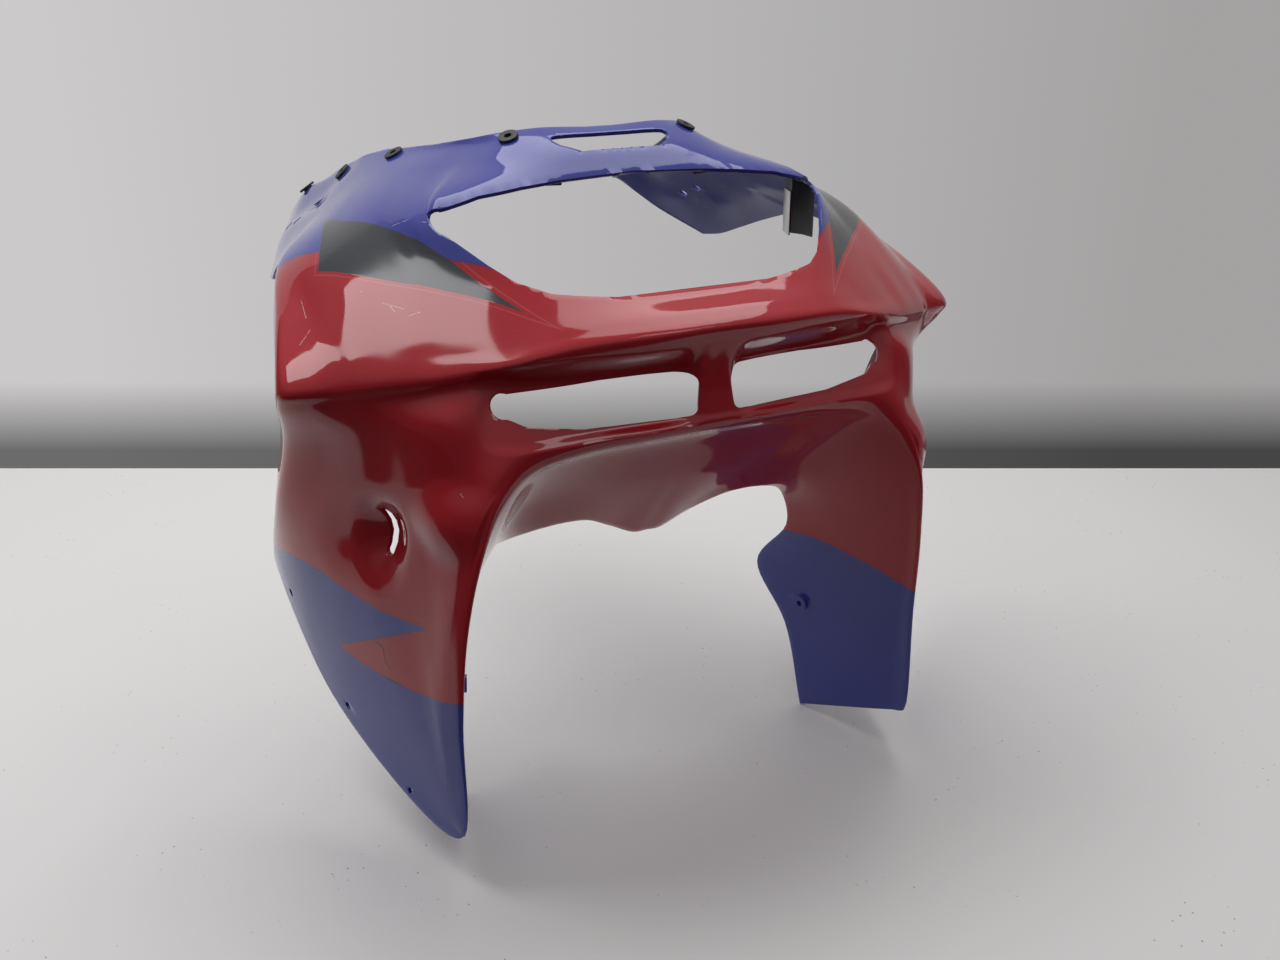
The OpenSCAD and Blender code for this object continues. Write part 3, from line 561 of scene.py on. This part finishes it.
def maths(tree, operation, a, b=0.5, c=None, clamp=False):
    values = {0: a, 1: b} if c is None else {0: a, 1: b, 2: c}
    node = add(tree, "ShaderNodeMath", values, operation=operation, use_clamp=clamp)
    return node.outputs[0]


def mixed(tree, fac, a, b):
    """Colour a where fac is 0 and b where it is 1."""
    node = add(tree, "ShaderNodeMix", {0: fac, 6: a, 7: b}, data_type="RGBA")
    return node.outputs[2]


def spread(tree, value, low, high, out_low=0.0, out_high=1.0):
    """A value mapped from one range to another and held inside it."""
    node = add(tree, "ShaderNodeMapRange", {0: value, 1: low, 2: high, 3: out_low, 4: out_high})
    return node.outputs[0]


# A scratch or crack is dark or pale inside a given width of the line between two points.
scratch_group = bpy.data.node_groups.new("scratch_line", "ShaderNodeTree")
for name, kind in (("Place", "NodeSocketVector"), ("From", "NodeSocketVector"),
                   ("To", "NodeSocketVector"), ("Width", "NodeSocketFloat")):
    scratch_group.interface.new_socket(name, in_out="INPUT", socket_type=kind)
scratch_group.interface.new_socket("Mask", in_out="OUTPUT", socket_type="NodeSocketFloat")
given = add(scratch_group, "NodeGroupInput").outputs
run = add(scratch_group, "ShaderNodeVectorMath", {0: given["To"], 1: given["From"]},
          operation="SUBTRACT").outputs[0]
off = add(scratch_group, "ShaderNodeVectorMath", {0: given["Place"], 1: given["From"]},
          operation="SUBTRACT").outputs[0]
dots = [add(scratch_group, "ShaderNodeVectorMath", {0: v, 1: run}, operation="DOT_PRODUCT")
        for v in (off, run)]
share = maths(scratch_group, "DIVIDE", dots[0].outputs["Value"], dots[1].outputs["Value"],
              clamp=True)
foot = add(scratch_group, "ShaderNodeVectorMath", {0: run, "Scale": share}, operation="SCALE")
away = add(scratch_group, "ShaderNodeVectorMath", {0: off, 1: foot.outputs[0]},
           operation="DISTANCE").outputs["Value"]
ragged = add(scratch_group, "ShaderNodeTexNoise", {
    "Vector": given["Place"], "Scale": 900.0, "Detail": 2.0})
reach = maths(scratch_group, "MULTIPLY", given["Width"],
              spread(scratch_group, ragged.outputs[0], 0.35, 0.65, 0.25, 1.4))
mask = maths(scratch_group, "SUBTRACT", 1.0, maths(scratch_group, "DIVIDE", away, reach),
             clamp=True)
add(scratch_group, "NodeGroupOutput", {"Mask": maths(scratch_group, "MULTIPLY", mask, 2.5,
                                                     clamp=True)})


def scratches(tree, place, lines, width):
    """Mask of several scratch lines, each a pair of points in mm, all of one width in mm."""
    mask = None
    for start, end in lines:
        found = add(tree, "ShaderNodeGroup", {
            "Place": place, "From": [v * MM for v in start], "To": [v * MM for v in end],
            "Width": width * MM}, node_tree=scratch_group).outputs["Mask"]
        mask = found if mask is None else maths(tree, "MAXIMUM", mask, found)
    return mask


# Smudges and fine wear from handling, shared by the paint, the plastic and the metal pieces.
handling_group = bpy.data.node_groups.new("handling_wear", "ShaderNodeTree")
for name, kind in (("Place", "NodeSocketVector"), ("Smudge Scale", "NodeSocketFloat"),
                   ("Grain Scale", "NodeSocketFloat")):
    handling_group.interface.new_socket(name, in_out="INPUT", socket_type=kind)
for name in ("Smudge", "Grain", "Hairlines"):
    handling_group.interface.new_socket(name, in_out="OUTPUT", socket_type="NodeSocketFloat")
given = add(handling_group, "NodeGroupInput").outputs
smudge = add(handling_group, "ShaderNodeTexNoise", {
    "Vector": given["Place"], "Scale": given["Smudge Scale"], "Detail": 5.0, "Roughness": 0.6})
grain = add(handling_group, "ShaderNodeTexNoise", {
    "Vector": given["Place"], "Scale": given["Grain Scale"], "Detail": 2.0})
bent = add(handling_group, "ShaderNodeVectorMath", {
    0: given["Place"], 1: smudge.outputs["Color"]}, operation="ADD")
lines = add(handling_group, "ShaderNodeTexVoronoi", {"Vector": bent.outputs[0], "Scale": 26.0},
            feature="DISTANCE_TO_EDGE")
hair = spread(handling_group, lines.outputs["Distance"], 0.0, 0.012, 1.0, 0.0)
hair = maths(handling_group, "MULTIPLY", hair,
             spread(handling_group, grain.outputs[0], 0.5, 0.62))
add(handling_group, "NodeGroupOutput", {
    "Smudge": spread(handling_group, smudge.outputs[0], 0.38, 0.68),
    "Grain": grain.outputs[0], "Hairlines": hair})


def worn(tree, place, smudge_scale, grain_scale):
    """The outputs of the handling wear, placed in a material with its own scales."""
    node = add(tree, "ShaderNodeGroup", {
        "Place": place, "Smudge Scale": smudge_scale, "Grain Scale": grain_scale},
        node_tree=handling_group)
    return node.outputs


# The lacquered outside: red, blue and grey fields cut by the stored distances, the pale line of
# the wedge's film edge, the seam round the blue, and the cracks and scratches seen in the photo.
RED, BLUE, GREY = (0.41, 0.0098, 0.018, 1), (0.045, 0.055, 0.31, 1), (0.034, 0.038, 0.043, 1)
FILM_EDGE, SEAM = (0.62, 0.2, 0.2, 1), (0.03, 0.01, 0.03, 1)
CRACKED, SCRATCHED, HAIRLINE = (0.012, 0.008, 0.01, 1), (0.7, 0.55, 0.56, 1), (0.6, 0.55, 0.55, 1)
CRACK_WIDTH, SCRATCH_WIDTH, EDGE_BLUR = 0.8, 0.45, 0.25
FILM_SHARE, SEAM_SHARE, CRACK_SHARE, SCRATCH_SHARE, HAIR_SHARE = 0.22, 0.25, 0.8, 0.55, 0.07
cracks = [
    ((-236.3, -174.0, 180.7), (-231.7, -184.5, 178.2)),
    ((-231.7, -184.5, 178.2), (-232.0, -183.7, 171.8)),
    ((-232.0, -183.7, 171.8), (-231.3, -185.2, 166.4)),
    ((-231.3, -185.2, 166.4), (-228.6, -190.9, 161.9)),
    ((-231.8, -183.0, 152.3), (-228.6, -190.9, 152.3)),
    ((-228.6, -190.9, 152.3), (-225.3, -198.2, 152.0)),
    ((-206.4, -247.2, 92.7), (-206.4, -246.8, 83.5))]
pale_scratches = [
    ((-227.9, -122.0, 436.5), (-214.5, -137.7, 437.3)),
    ((-205.4, -155.5, 432.6), (-194.0, -170.1, 430.6)),
    ((-201.4, -161.5, 431.5), (-199.8, -167.7, 428.5)),
    ((-192.6, -176.8, 427.1), (-185.3, -179.3, 429.7)),
    ((-250.2, -99.0, 426.3), (-251.6, -118.7, 418.1)),
    ((-252.1, -131.2, 412.6), (-261.3, -138.0, 404.7)),
    ((-180.2, -102.0, 474.1), (-169.8, -114.1, 480.5)),
    ((-173.4, -110.6, 478.0), (-163.0, -130.8, 480.8)),
    ((-172.4, -92.2, 481.8), (-166.6, -108.7, 482.8)),
    ((-187.0, -253.6, 323.1), (-186.0, -256.5, 320.5)),
    ((-183.4, -264.3, 312.8), (-184.0, -263.0, 311.5))]
tree = nodes_of(gloss_paint)
place = add(tree, "ShaderNodeTexCoord").outputs["Object"]
edges = [add(tree, "ShaderNodeAttribute", attribute_name=name).outputs["Fac"]
         for name in PAINT_NAMES]
spear = maths(tree, "MAXIMUM", edges[1], edges[2])
blue_depth = maths(tree, "MINIMUM", edges[0], spear)
is_blue = spread(tree, blue_depth, -EDGE_BLUR, EDGE_BLUR)
wedge = maths(tree, "MINIMUM", maths(tree, "MINIMUM", edges[3], edges[4]), edges[5])
is_grey = spread(tree, wedge, -EDGE_BLUR, EDGE_BLUR)
wear = worn(tree, place, 9.0, 700.0)
flake = add(tree, "ShaderNodeTexVoronoi", {"Vector": place, "Scale": 2600.0})
fleck = spread(tree, flake.outputs["Distance"], 0.1, 0.7, 1.25, 0.85)
blue = add(tree, "ShaderNodeVectorMath", {0: BLUE[:3], "Scale": fleck}, operation="SCALE")
colour = mixed(tree, is_blue, RED, blue.outputs[0])
film_edge = maths(tree, "MULTIPLY", spread(tree, wedge, -3.1, -2.7),
                  spread(tree, wedge, -2.3, -1.9, 1.0, 0.0))
on_red = maths(tree, "SUBTRACT", FILM_SHARE, maths(tree, "MULTIPLY", is_blue, FILM_SHARE))
colour = mixed(tree, maths(tree, "MULTIPLY", film_edge, on_red), colour, FILM_EDGE)
colour = mixed(tree, is_grey, colour, GREY)
seam = maths(tree, "MULTIPLY", spread(tree, blue_depth, -0.9, -0.1),
             spread(tree, blue_depth, 0.1, 0.9, 1.0, 0.0))
colour = mixed(tree, maths(tree, "MULTIPLY", seam, SEAM_SHARE), colour, SEAM)
dark_marks = scratches(tree, place, cracks, CRACK_WIDTH)
pale_marks = scratches(tree, place, pale_scratches, SCRATCH_WIDTH)
colour = mixed(tree, maths(tree, "MULTIPLY", dark_marks, CRACK_SHARE), colour, CRACKED)
colour = mixed(tree, maths(tree, "MULTIPLY", pale_marks, SCRATCH_SHARE), colour, SCRATCHED)
colour = mixed(tree, maths(tree, "MULTIPLY", wear["Hairlines"], HAIR_SHARE), colour, HAIRLINE)
gloss = spread(tree, wear["Smudge"], 0.0, 1.0, 0.03, 0.09)
gloss = maths(tree, "ADD", gloss, maths(tree, "MULTIPLY", is_grey, 0.08))
gloss = maths(tree, "ADD", gloss, maths(tree, "MULTIPLY", dark_marks, 0.4))
height = maths(tree, "ADD", maths(tree, "MULTIPLY", wear["Grain"], 0.12), is_grey)
height = maths(tree, "SUBTRACT", height, maths(tree, "ADD", dark_marks, pale_marks))
surface = add(tree, "ShaderNodeBump", {"Height": height, "Distance": 0.00006, "Strength": 0.3})
body = add(tree, "ShaderNodeBsdfPrincipled", {
    "Base Color": colour, "Roughness": 0.45, "Specular IOR Level": 0.05,
    "Normal": surface.outputs[0], "Coat Weight": 1.0, "Coat Roughness": gloss,
    "Coat Normal": surface.outputs[0], "Coat IOR": 1.47})
add(tree, "ShaderNodeOutputMaterial", {"Surface": body.outputs[0]})

# Inside, the paint is thin over the dark plastic: darker, duller and dusty, with no wedges.
LINING_RED, LINING_BLUE = (0.15, 0.009, 0.013, 1), (0.036, 0.041, 0.19, 1)
LINING_DUST = (0.035, 0.033, 0.04, 1)
tree = nodes_of(lining)
place = add(tree, "ShaderNodeTexCoord").outputs["Object"]
blue_edge = add(tree, "ShaderNodeAttribute", attribute_name="blue_a").outputs["Fac"]
wear = worn(tree, place, 14.0, 500.0)
colour = mixed(tree, spread(tree, blue_edge, -1.5, 1.5), LINING_RED, LINING_BLUE)
colour = mixed(tree, spread(tree, wear["Smudge"], 0.3, 1.0, 0.0, 0.3), colour, LINING_DUST)
surface = add(tree, "ShaderNodeBump", {
    "Height": wear["Grain"], "Distance": 0.0001, "Strength": 0.3})
body = add(tree, "ShaderNodeBsdfPrincipled", {
    "Base Color": colour, "Roughness": spread(tree, wear["Smudge"], 0.0, 1.0, 0.12, 0.3),
    "Normal": surface.outputs[0]})
add(tree, "ShaderNodeOutputMaterial", {"Surface": body.outputs[0]})
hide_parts("shell")
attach(shell, "root")


def finish_of(name, dark, light, roughness, metallic=0.0, grain=0.4):
    """A fine-grained finish between two colours, smudged and rubbed pale by handling."""
    material = bpy.data.materials.new(name)
    tree = nodes_of(material)
    place = add(tree, "ShaderNodeTexCoord").outputs["Object"]
    wear = worn(tree, place, 40.0, 1500.0)
    colour = mixed(tree, wear["Grain"], dark, light)
    colour = mixed(tree, maths(tree, "MULTIPLY", wear["Smudge"], 0.25), colour, light)
    surface = add(tree, "ShaderNodeBump", {
        "Height": wear["Grain"], "Distance": 0.0001, "Strength": grain})
    body = add(tree, "ShaderNodeBsdfPrincipled", {
        "Base Color": colour, "Metallic": metallic, "Normal": surface.outputs[0],
        "Roughness": spread(tree, wear["Smudge"], 0.0, 1.0, roughness, roughness + 0.15)})
    add(tree, "ShaderNodeOutputMaterial", {"Surface": body.outputs[0]})
    return material


rubber = finish_of("nut_rubber", (0.012, 0.012, 0.013, 1), (0.04, 0.04, 0.042, 1), roughness=0.5)
brass = finish_of("turned_brass", (0.5, 0.34, 0.13, 1), (0.72, 0.52, 0.24, 1),
                  roughness=0.25, metallic=1.0, grain=0.2)
foam = finish_of("pad_rubber", (0.016, 0.016, 0.017, 1), (0.06, 0.06, 0.063, 1), roughness=0.75)
plastic = finish_of("block_plastic", (0.01, 0.01, 0.011, 1), (0.03, 0.03, 0.032, 1),
                    roughness=0.35)
steel = finish_of("clip_zinc", (0.42, 0.42, 0.44, 1), (0.7, 0.7, 0.71, 1),
                  roughness=0.28, metallic=1.0, grain=0.15)

# The nuts under the screen's edge: a rubber flange on a sleeve, with a tapped brass insert at
# the sleeve's inner end. One geometry tree turns the rings and sets them on the nuts' places.
NUT_SEAT, FLANGE_D, FLANGE_T, NUT_BORE = 0.3, 16.0, 2.0, 5.8
SLEEVE_D, SLEEVE_BORE, SLEEVE_END = 9.2, 6.4, -10.7
SLEEVE_LAP = 0.2
INSERT_D, THREAD_D, INSERT_L, MOUTH_EASE, MOUTH_DEPTH = 6.4, 4.2, 7.0, 0.3, 0.4
ring_tree = bpy.data.node_groups.new("rings_on_places", "GeometryNodeTree")
ring_tree.interface.new_socket("Places", in_out="INPUT", socket_type="NodeSocketGeometry")
RING_SIZES = [f"{part} {size}" for part in ("Collar", "Sleeve")
              for size in ("Outer Radius", "Inner Radius", "Bottom", "Top")]
for name in RING_SIZES + ["Edge Radius"]:
    ring_tree.interface.new_socket(name, in_out="INPUT", socket_type="NodeSocketFloat")
ring_tree.interface.new_socket("Material", in_out="INPUT", socket_type="NodeSocketMaterial")
ring_tree.interface.new_socket("Rings", in_out="OUTPUT", socket_type="NodeSocketGeometry")
given = add(ring_tree, "NodeGroupInput").outputs
both = add(ring_tree, "GeometryNodeJoinGeometry")
for part in ("Collar", "Sleeve"):
    outer, inner, bottom, top = (given[f"{part} {size}"] for size in
                                 ("Outer Radius", "Inner Radius", "Bottom", "Top"))
    middle = maths(ring_tree, "MULTIPLY", maths(ring_tree, "ADD", outer, inner), 0.5)
    circle = add(ring_tree, "GeometryNodeCurvePrimitiveCircle", {
        "Resolution": 64, "Radius": middle}, mode="RADIUS")
    level = add(ring_tree, "GeometryNodeSetCurveNormal", {"Curve": circle.outputs[0]},
                mode="Z_UP")
    section = add(ring_tree, "GeometryNodeCurvePrimitiveQuadrilateral", {
        "Width": maths(ring_tree, "SUBTRACT", outer, inner),
        "Height": maths(ring_tree, "SUBTRACT", top, bottom)}, mode="RECTANGLE")
    eased = add(ring_tree, "GeometryNodeFilletCurve", {
        "Curve": section.outputs[0], "Count": 3, "Radius": given["Edge Radius"]}, mode="POLY")
    ring = add(ring_tree, "GeometryNodeCurveToMesh", {
        "Curve": level.outputs[0], "Profile Curve": eased.outputs[0]})
    height = maths(ring_tree, "MULTIPLY", maths(ring_tree, "ADD", top, bottom), 0.5)
    lifted = add(ring_tree, "ShaderNodeCombineXYZ", {"Z": height})
    raised = add(ring_tree, "GeometryNodeTransform", {
        "Geometry": ring.outputs[0], "Translation": lifted.outputs[0]})
    ring_tree.links.new(raised.outputs[0], both.inputs[0])
way = add(ring_tree, "GeometryNodeInputNamedAttribute", {"Name": "out"}, data_type="FLOAT_VECTOR")
stood = add(ring_tree, "FunctionNodeAlignRotationToVector", {"Vector": way.outputs[0]}, axis="Z")
placed = add(ring_tree, "GeometryNodeInstanceOnPoints", {
    "Points": given["Places"], "Instance": both.outputs[0], "Rotation": stood.outputs[0]})
real = add(ring_tree, "GeometryNodeRealizeInstances", {"Geometry": placed.outputs[0]})
dressed = add(ring_tree, "GeometryNodeSetMaterial", {
    "Geometry": real.outputs[0], "Material": given["Material"]})
add(ring_tree, "NodeGroupOutput", {"Rings": dressed.outputs[0]})


def rings(name, sizes, edge_radius, material, replaced):
    """One object with a ring, or two, on each of the eight nut places."""
    places = bpy.data.meshes.new(name)
    spots = [(Vector((p.x * side, p.y, p.z)), Vector((n.x * side, n.y, n.z)))
             for side in (1, -1) for p, n in nut_places]
    places.from_pydata([p for p, _ in spots], [], [])
    outs = places.attributes.new("out", "FLOAT_VECTOR", "POINT")
    for k, (_, n) in enumerate(spots):
        outs.data[k].vector = n
    obj = bpy.data.objects.new(name, places)
    bpy.context.scene.collection.objects.link(obj)
    turning = obj.modifiers.new("rings", "NODES")
    turning.node_group = ring_tree
    sockets = {item.name: item.identifier for item in ring_tree.interface.items_tree
               if item.in_out == "INPUT"}
    for key, value in zip(RING_SIZES, sizes):
        turning[sockets[key]] = value * MM
    turning[sockets["Edge Radius"]] = edge_radius * MM
    turning[sockets["Material"]] = material
    made_plain(obj)
    for polygon in obj.data.polygons:
        polygon.use_smooth = True
    obj.data.set_sharp_from_angle(angle=math.radians(50))
    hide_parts(*replaced)
    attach(obj, "root")


NUT_NAMES = [f"{side}_{k}" for side in ("left", "right") for k in range(1, 5)]
rings("screen_nuts",
      (FLANGE_D / 2, NUT_BORE / 2, NUT_SEAT, NUT_SEAT + FLANGE_T,
       SLEEVE_D / 2, SLEEVE_BORE / 2, SLEEVE_END, NUT_SEAT + SLEEVE_LAP),
      0.35, rubber, [f"rubber_nut_{name}" for name in NUT_NAMES])
insert_top = SLEEVE_END + INSERT_L
rings("nut_inserts",
      (INSERT_D / 2, THREAD_D / 2, SLEEVE_END, insert_top,
       INSERT_D / 2, THREAD_D / 2 + MOUTH_EASE, insert_top - MOUTH_DEPTH, insert_top),
      0.15, brass, [f"brass_insert_{name}" for name in NUT_NAMES])


# What seats the headlight: a soft pad under the deck, and a block with its metal clip behind
# each outer corner of the opening. They keep the shape of the CAD pieces with worn edges.
def softened(node_name, edge_width, material):
    source = nodes[node_name]
    mesh = source.data.copy()
    shape = bmesh.new()
    shape.from_mesh(mesh)
    shape.transform(source.matrix_world)
    bmesh.ops.remove_doubles(shape, verts=shape.verts[:], dist=0.00001)
    bmesh.ops.dissolve_limit(shape, angle_limit=math.radians(1), verts=shape.verts[:],
                             edges=shape.edges[:])
    shape.to_mesh(mesh)
    shape.free()
    obj = bpy.data.objects.new("soft_" + node_name, mesh)
    bpy.context.scene.collection.objects.link(obj)
    edges = obj.modifiers.new("edges", "BEVEL")
    edges.width, edges.segments, edges.limit_method = edge_width * MM, 2, "ANGLE"
    edges.angle_limit = math.radians(35)
    made_plain(obj)
    obj.data.materials.clear()
    obj.data.materials.append(material)
    for polygon in obj.data.polygons:
        polygon.use_smooth = True
    obj.data.set_sharp_from_angle(angle=math.radians(40))
    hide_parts(node_name)
    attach(obj, "root")


for side_name in ("left", "right"):
    softened(f"light_pad_{side_name}", 0.8, foam)
    softened(f"light_block_{side_name}", 0.7, plastic)
    softened(f"light_clip_{side_name}", 0.25, steel)

# The table and the wall, both turned to face the camera: a pale speckled top and a grey-white
# wall that glows with painted light, paler on the left and darker on the right, with a strip of
# painted shade at its foot. In reflections the top is dark nearer than TABLE_NEAR, where the real
# one ends: painted shade for the dim room below the table.
CAMERA_AT = Vector((-0.4232, -0.7717 - MIDDLE_Y * MM, 0.6717))
AZIMUTH, ELEVATION = math.radians(25.5), math.radians(22.9)
ahead = Vector((math.sin(AZIMUTH), math.cos(AZIMUTH), 0))
right = Vector((math.cos(AZIMUTH), -math.sin(AZIMUTH), 0))
FLOOR_Z, FLOOR_NEAR, TABLE_NEAR, TABLE_FAR, HALF_W = -0.0005, -2.6, -0.41, 0.52, 3.2
WALL_AT, WALL_HALF, WALL_FOOT, WALL_TOP = 0.99, 1.7, -0.3, 1.6
TOP_COLOUR, SPECK, BELOW_TABLE_SHADE = (0.8, 0.785, 0.765, 1), (0.24, 0.2, 0.17, 1), (0.05, 0.05, 0.05, 1)
# The wall's glow is painted light: paler on the left, where more light falls, and dimmer on the
# right. Along its foot runs a strip of painted shade.
WALL_PAINTED_LIGHT_LEFT, WALL_PAINTED_LIGHT_RIGHT = (0.6, 0.585, 0.595, 1), (0.37, 0.362, 0.36, 1)
WALL_PAINTED_SHADE_LEFT, WALL_PAINTED_SHADE_RIGHT = (0.15, 0.148, 0.15, 1), (0.062, 0.06, 0.062, 1)
SHADE_STRIP_LOW, SHADE_STRIP_TOP, WALL_FADE, TABLE_BLUR, SPECK_SHARE = -0.16, -0.035, 0.9, 0.02, 0.65


def flat_sheet(name, corners):
    """A flat sheet whose corners are given as right, ahead and up of the part's origin."""
    mesh = bpy.data.meshes.new(name)
    mesh.from_pydata([right * s + ahead * d + Vector((0, 0, h)) for s, d, h in corners],
                     [], [(0, 1, 2, 3)])
    obj = bpy.data.objects.new(name, mesh)
    bpy.context.scene.collection.objects.link(obj)
    return obj


floor = flat_sheet("table_top", [
    (-HALF_W, FLOOR_NEAR, FLOOR_Z), (HALF_W, FLOOR_NEAR, FLOOR_Z),
    (HALF_W, TABLE_FAR, FLOOR_Z), (-HALF_W, TABLE_FAR, FLOOR_Z)])
back_wall = flat_sheet("back_wall", [
    (-WALL_HALF, WALL_AT, WALL_FOOT), (WALL_HALF, WALL_AT, WALL_FOOT),
    (WALL_HALF, WALL_AT, WALL_TOP), (-WALL_HALF, WALL_AT, WALL_TOP)])
table_paint = bpy.data.materials.new("speckled_top")
tree = nodes_of(table_paint)
place = add(tree, "ShaderNodeTexCoord").outputs["Object"]
specks = add(tree, "ShaderNodeTexVoronoi", {"Vector": place, "Scale": 105.0})
choice = add(tree, "ShaderNodeTexNoise", {"Vector": place, "Scale": 12.0, "Detail": 2.0})
size = spread(tree, choice.outputs[0], 0.4, 0.68, 0.0, 0.1)
speck = maths(tree, "LESS_THAN", specks.outputs["Distance"], size)
colour = mixed(tree, maths(tree, "MULTIPLY", speck, SPECK_SHARE), TOP_COLOUR, SPECK)
inward = add(tree, "ShaderNodeVectorMath", {0: place, 1: tuple(ahead)}, operation="DOT_PRODUCT")
on_table = spread(tree, inward.outputs["Value"], TABLE_NEAR - TABLE_BLUR,
                  TABLE_NEAR + TABLE_BLUR)
seen = add(tree, "ShaderNodeLightPath").outputs["Is Camera Ray"]
# Painted shade: for all rays but the camera's, the top is dark nearer than TABLE_NEAR. This stands
# in for the shaded room below the table's front edge.
colour = mixed(tree, maths(tree, "MAXIMUM", seen, on_table), BELOW_TABLE_SHADE, colour)
body = add(tree, "ShaderNodeBsdfPrincipled", {"Base Color": colour, "Roughness": 0.55})
add(tree, "ShaderNodeOutputMaterial", {"Surface": body.outputs[0]})
floor.data.materials.append(table_paint)
wall_painted_light = bpy.data.materials.new("wall_painted_light")
tree = nodes_of(wall_painted_light)
place = add(tree, "ShaderNodeTexCoord").outputs["Object"]
sideways = add(tree, "ShaderNodeVectorMath", {0: place, 1: tuple(right)}, operation="DOT_PRODUCT")
sideways = spread(tree, sideways.outputs["Value"], -WALL_FADE, WALL_FADE)
# Painted light: the wall's glow fades from pale on the left to dimmer on the right. Below the
# table's level it turns to painted shade.
painted_light = mixed(tree, sideways, WALL_PAINTED_LIGHT_LEFT, WALL_PAINTED_LIGHT_RIGHT)
painted_shade = mixed(tree, sideways, WALL_PAINTED_SHADE_LEFT, WALL_PAINTED_SHADE_RIGHT)
up = add(tree, "ShaderNodeSeparateXYZ", {0: place}).outputs[2]
colour = mixed(tree, spread(tree, up, SHADE_STRIP_LOW, SHADE_STRIP_TOP), painted_shade, painted_light)
glow = add(tree, "ShaderNodeEmission", {"Color": colour})
clear = add(tree, "ShaderNodeBsdfTransparent")
behind = add(tree, "ShaderNodeNewGeometry").outputs["Backfacing"]
one_sided = add(tree, "ShaderNodeMixShader", {0: behind, 1: glow.outputs[0], 2: clear.outputs[0]})
add(tree, "ShaderNodeOutputMaterial", {"Surface": one_sided.outputs[0]})
back_wall.data.materials.append(wall_painted_light)


# Light: ceiling panels face straight down. The bonnet mirrors a bright one to the left; a wide one
# above and behind the part throws its shadow forward, and a small one in front lights the lip.
CEILING = 1.63
ROOM_LOW, ROOM_HIGH = (0.1, 0.1, 0.105, 1), (0.42, 0.42, 0.44, 1)
ROOM_SEEN = (0.8, 0.8, 0.81, 1)


def panel(name, s, d, wide, deep, radiance):
    """A lamp s to the right of the origin and d ahead of it, with its size in metres."""
    lamp = bpy.data.lights.new(name, "AREA")
    lamp.shape, lamp.size, lamp.size_y = "RECTANGLE", wide, deep
    lamp.energy = math.pi * wide * deep * radiance
    obj = bpy.data.objects.new(name, lamp)
    obj.matrix_world = (Matrix.Translation(right * s + ahead * d + Vector((0, 0, CEILING)))
                        @ Matrix.Rotation(-AZIMUTH, 4, "Z"))
    bpy.context.scene.collection.objects.link(obj)


panel("left_panel", s=-0.85, d=-0.17, wide=0.7, deep=0.55, radiance=5.0)
panel("over_panel", s=0.0, d=0.42, wide=1.45, deep=1.0, radiance=2.6)
panel("front_panel", s=0.75, d=-0.63, wide=0.6, deep=0.3, radiance=2.5)
world = bpy.data.worlds.new("room")
bpy.context.scene.world = world
tree = nodes_of(world)
way = add(tree, "ShaderNodeTexCoord").outputs["Generated"]
up = add(tree, "ShaderNodeSeparateXYZ", {0: way}).outputs[2]
room = mixed(tree, spread(tree, up, 0.3, 0.65), ROOM_LOW, ROOM_HIGH)
seen = add(tree, "ShaderNodeLightPath").outputs["Is Camera Ray"]
sky = add(tree, "ShaderNodeBackground", {"Color": mixed(tree, seen, room, ROOM_SEEN)})
add(tree, "ShaderNodeOutputWorld", {"Surface": sky.outputs[0]})

# Camera at the photo's place: 25.5 degrees from straight ahead and 22.9 degrees down.
SENSOR, LENS, NEAREST = 36.0, 36.5625, 0.01
eye = bpy.data.cameras.new("camera")
eye.sensor_fit, eye.sensor_width, eye.lens, eye.clip_start = "HORIZONTAL", SENSOR, LENS, NEAREST
camera = bpy.data.objects.new("camera", eye)
bpy.context.scene.collection.objects.link(camera)
look = ahead * math.cos(ELEVATION) - Vector((0, 0, math.sin(ELEVATION)))
upright = right.cross(look)
turn = Matrix((right, upright, -look)).transposed().to_4x4()
camera.matrix_world = Matrix.Translation(CAMERA_AT) @ turn
bpy.context.scene.camera = camera
bpy.context.scene.view_settings.view_transform = "Standard"
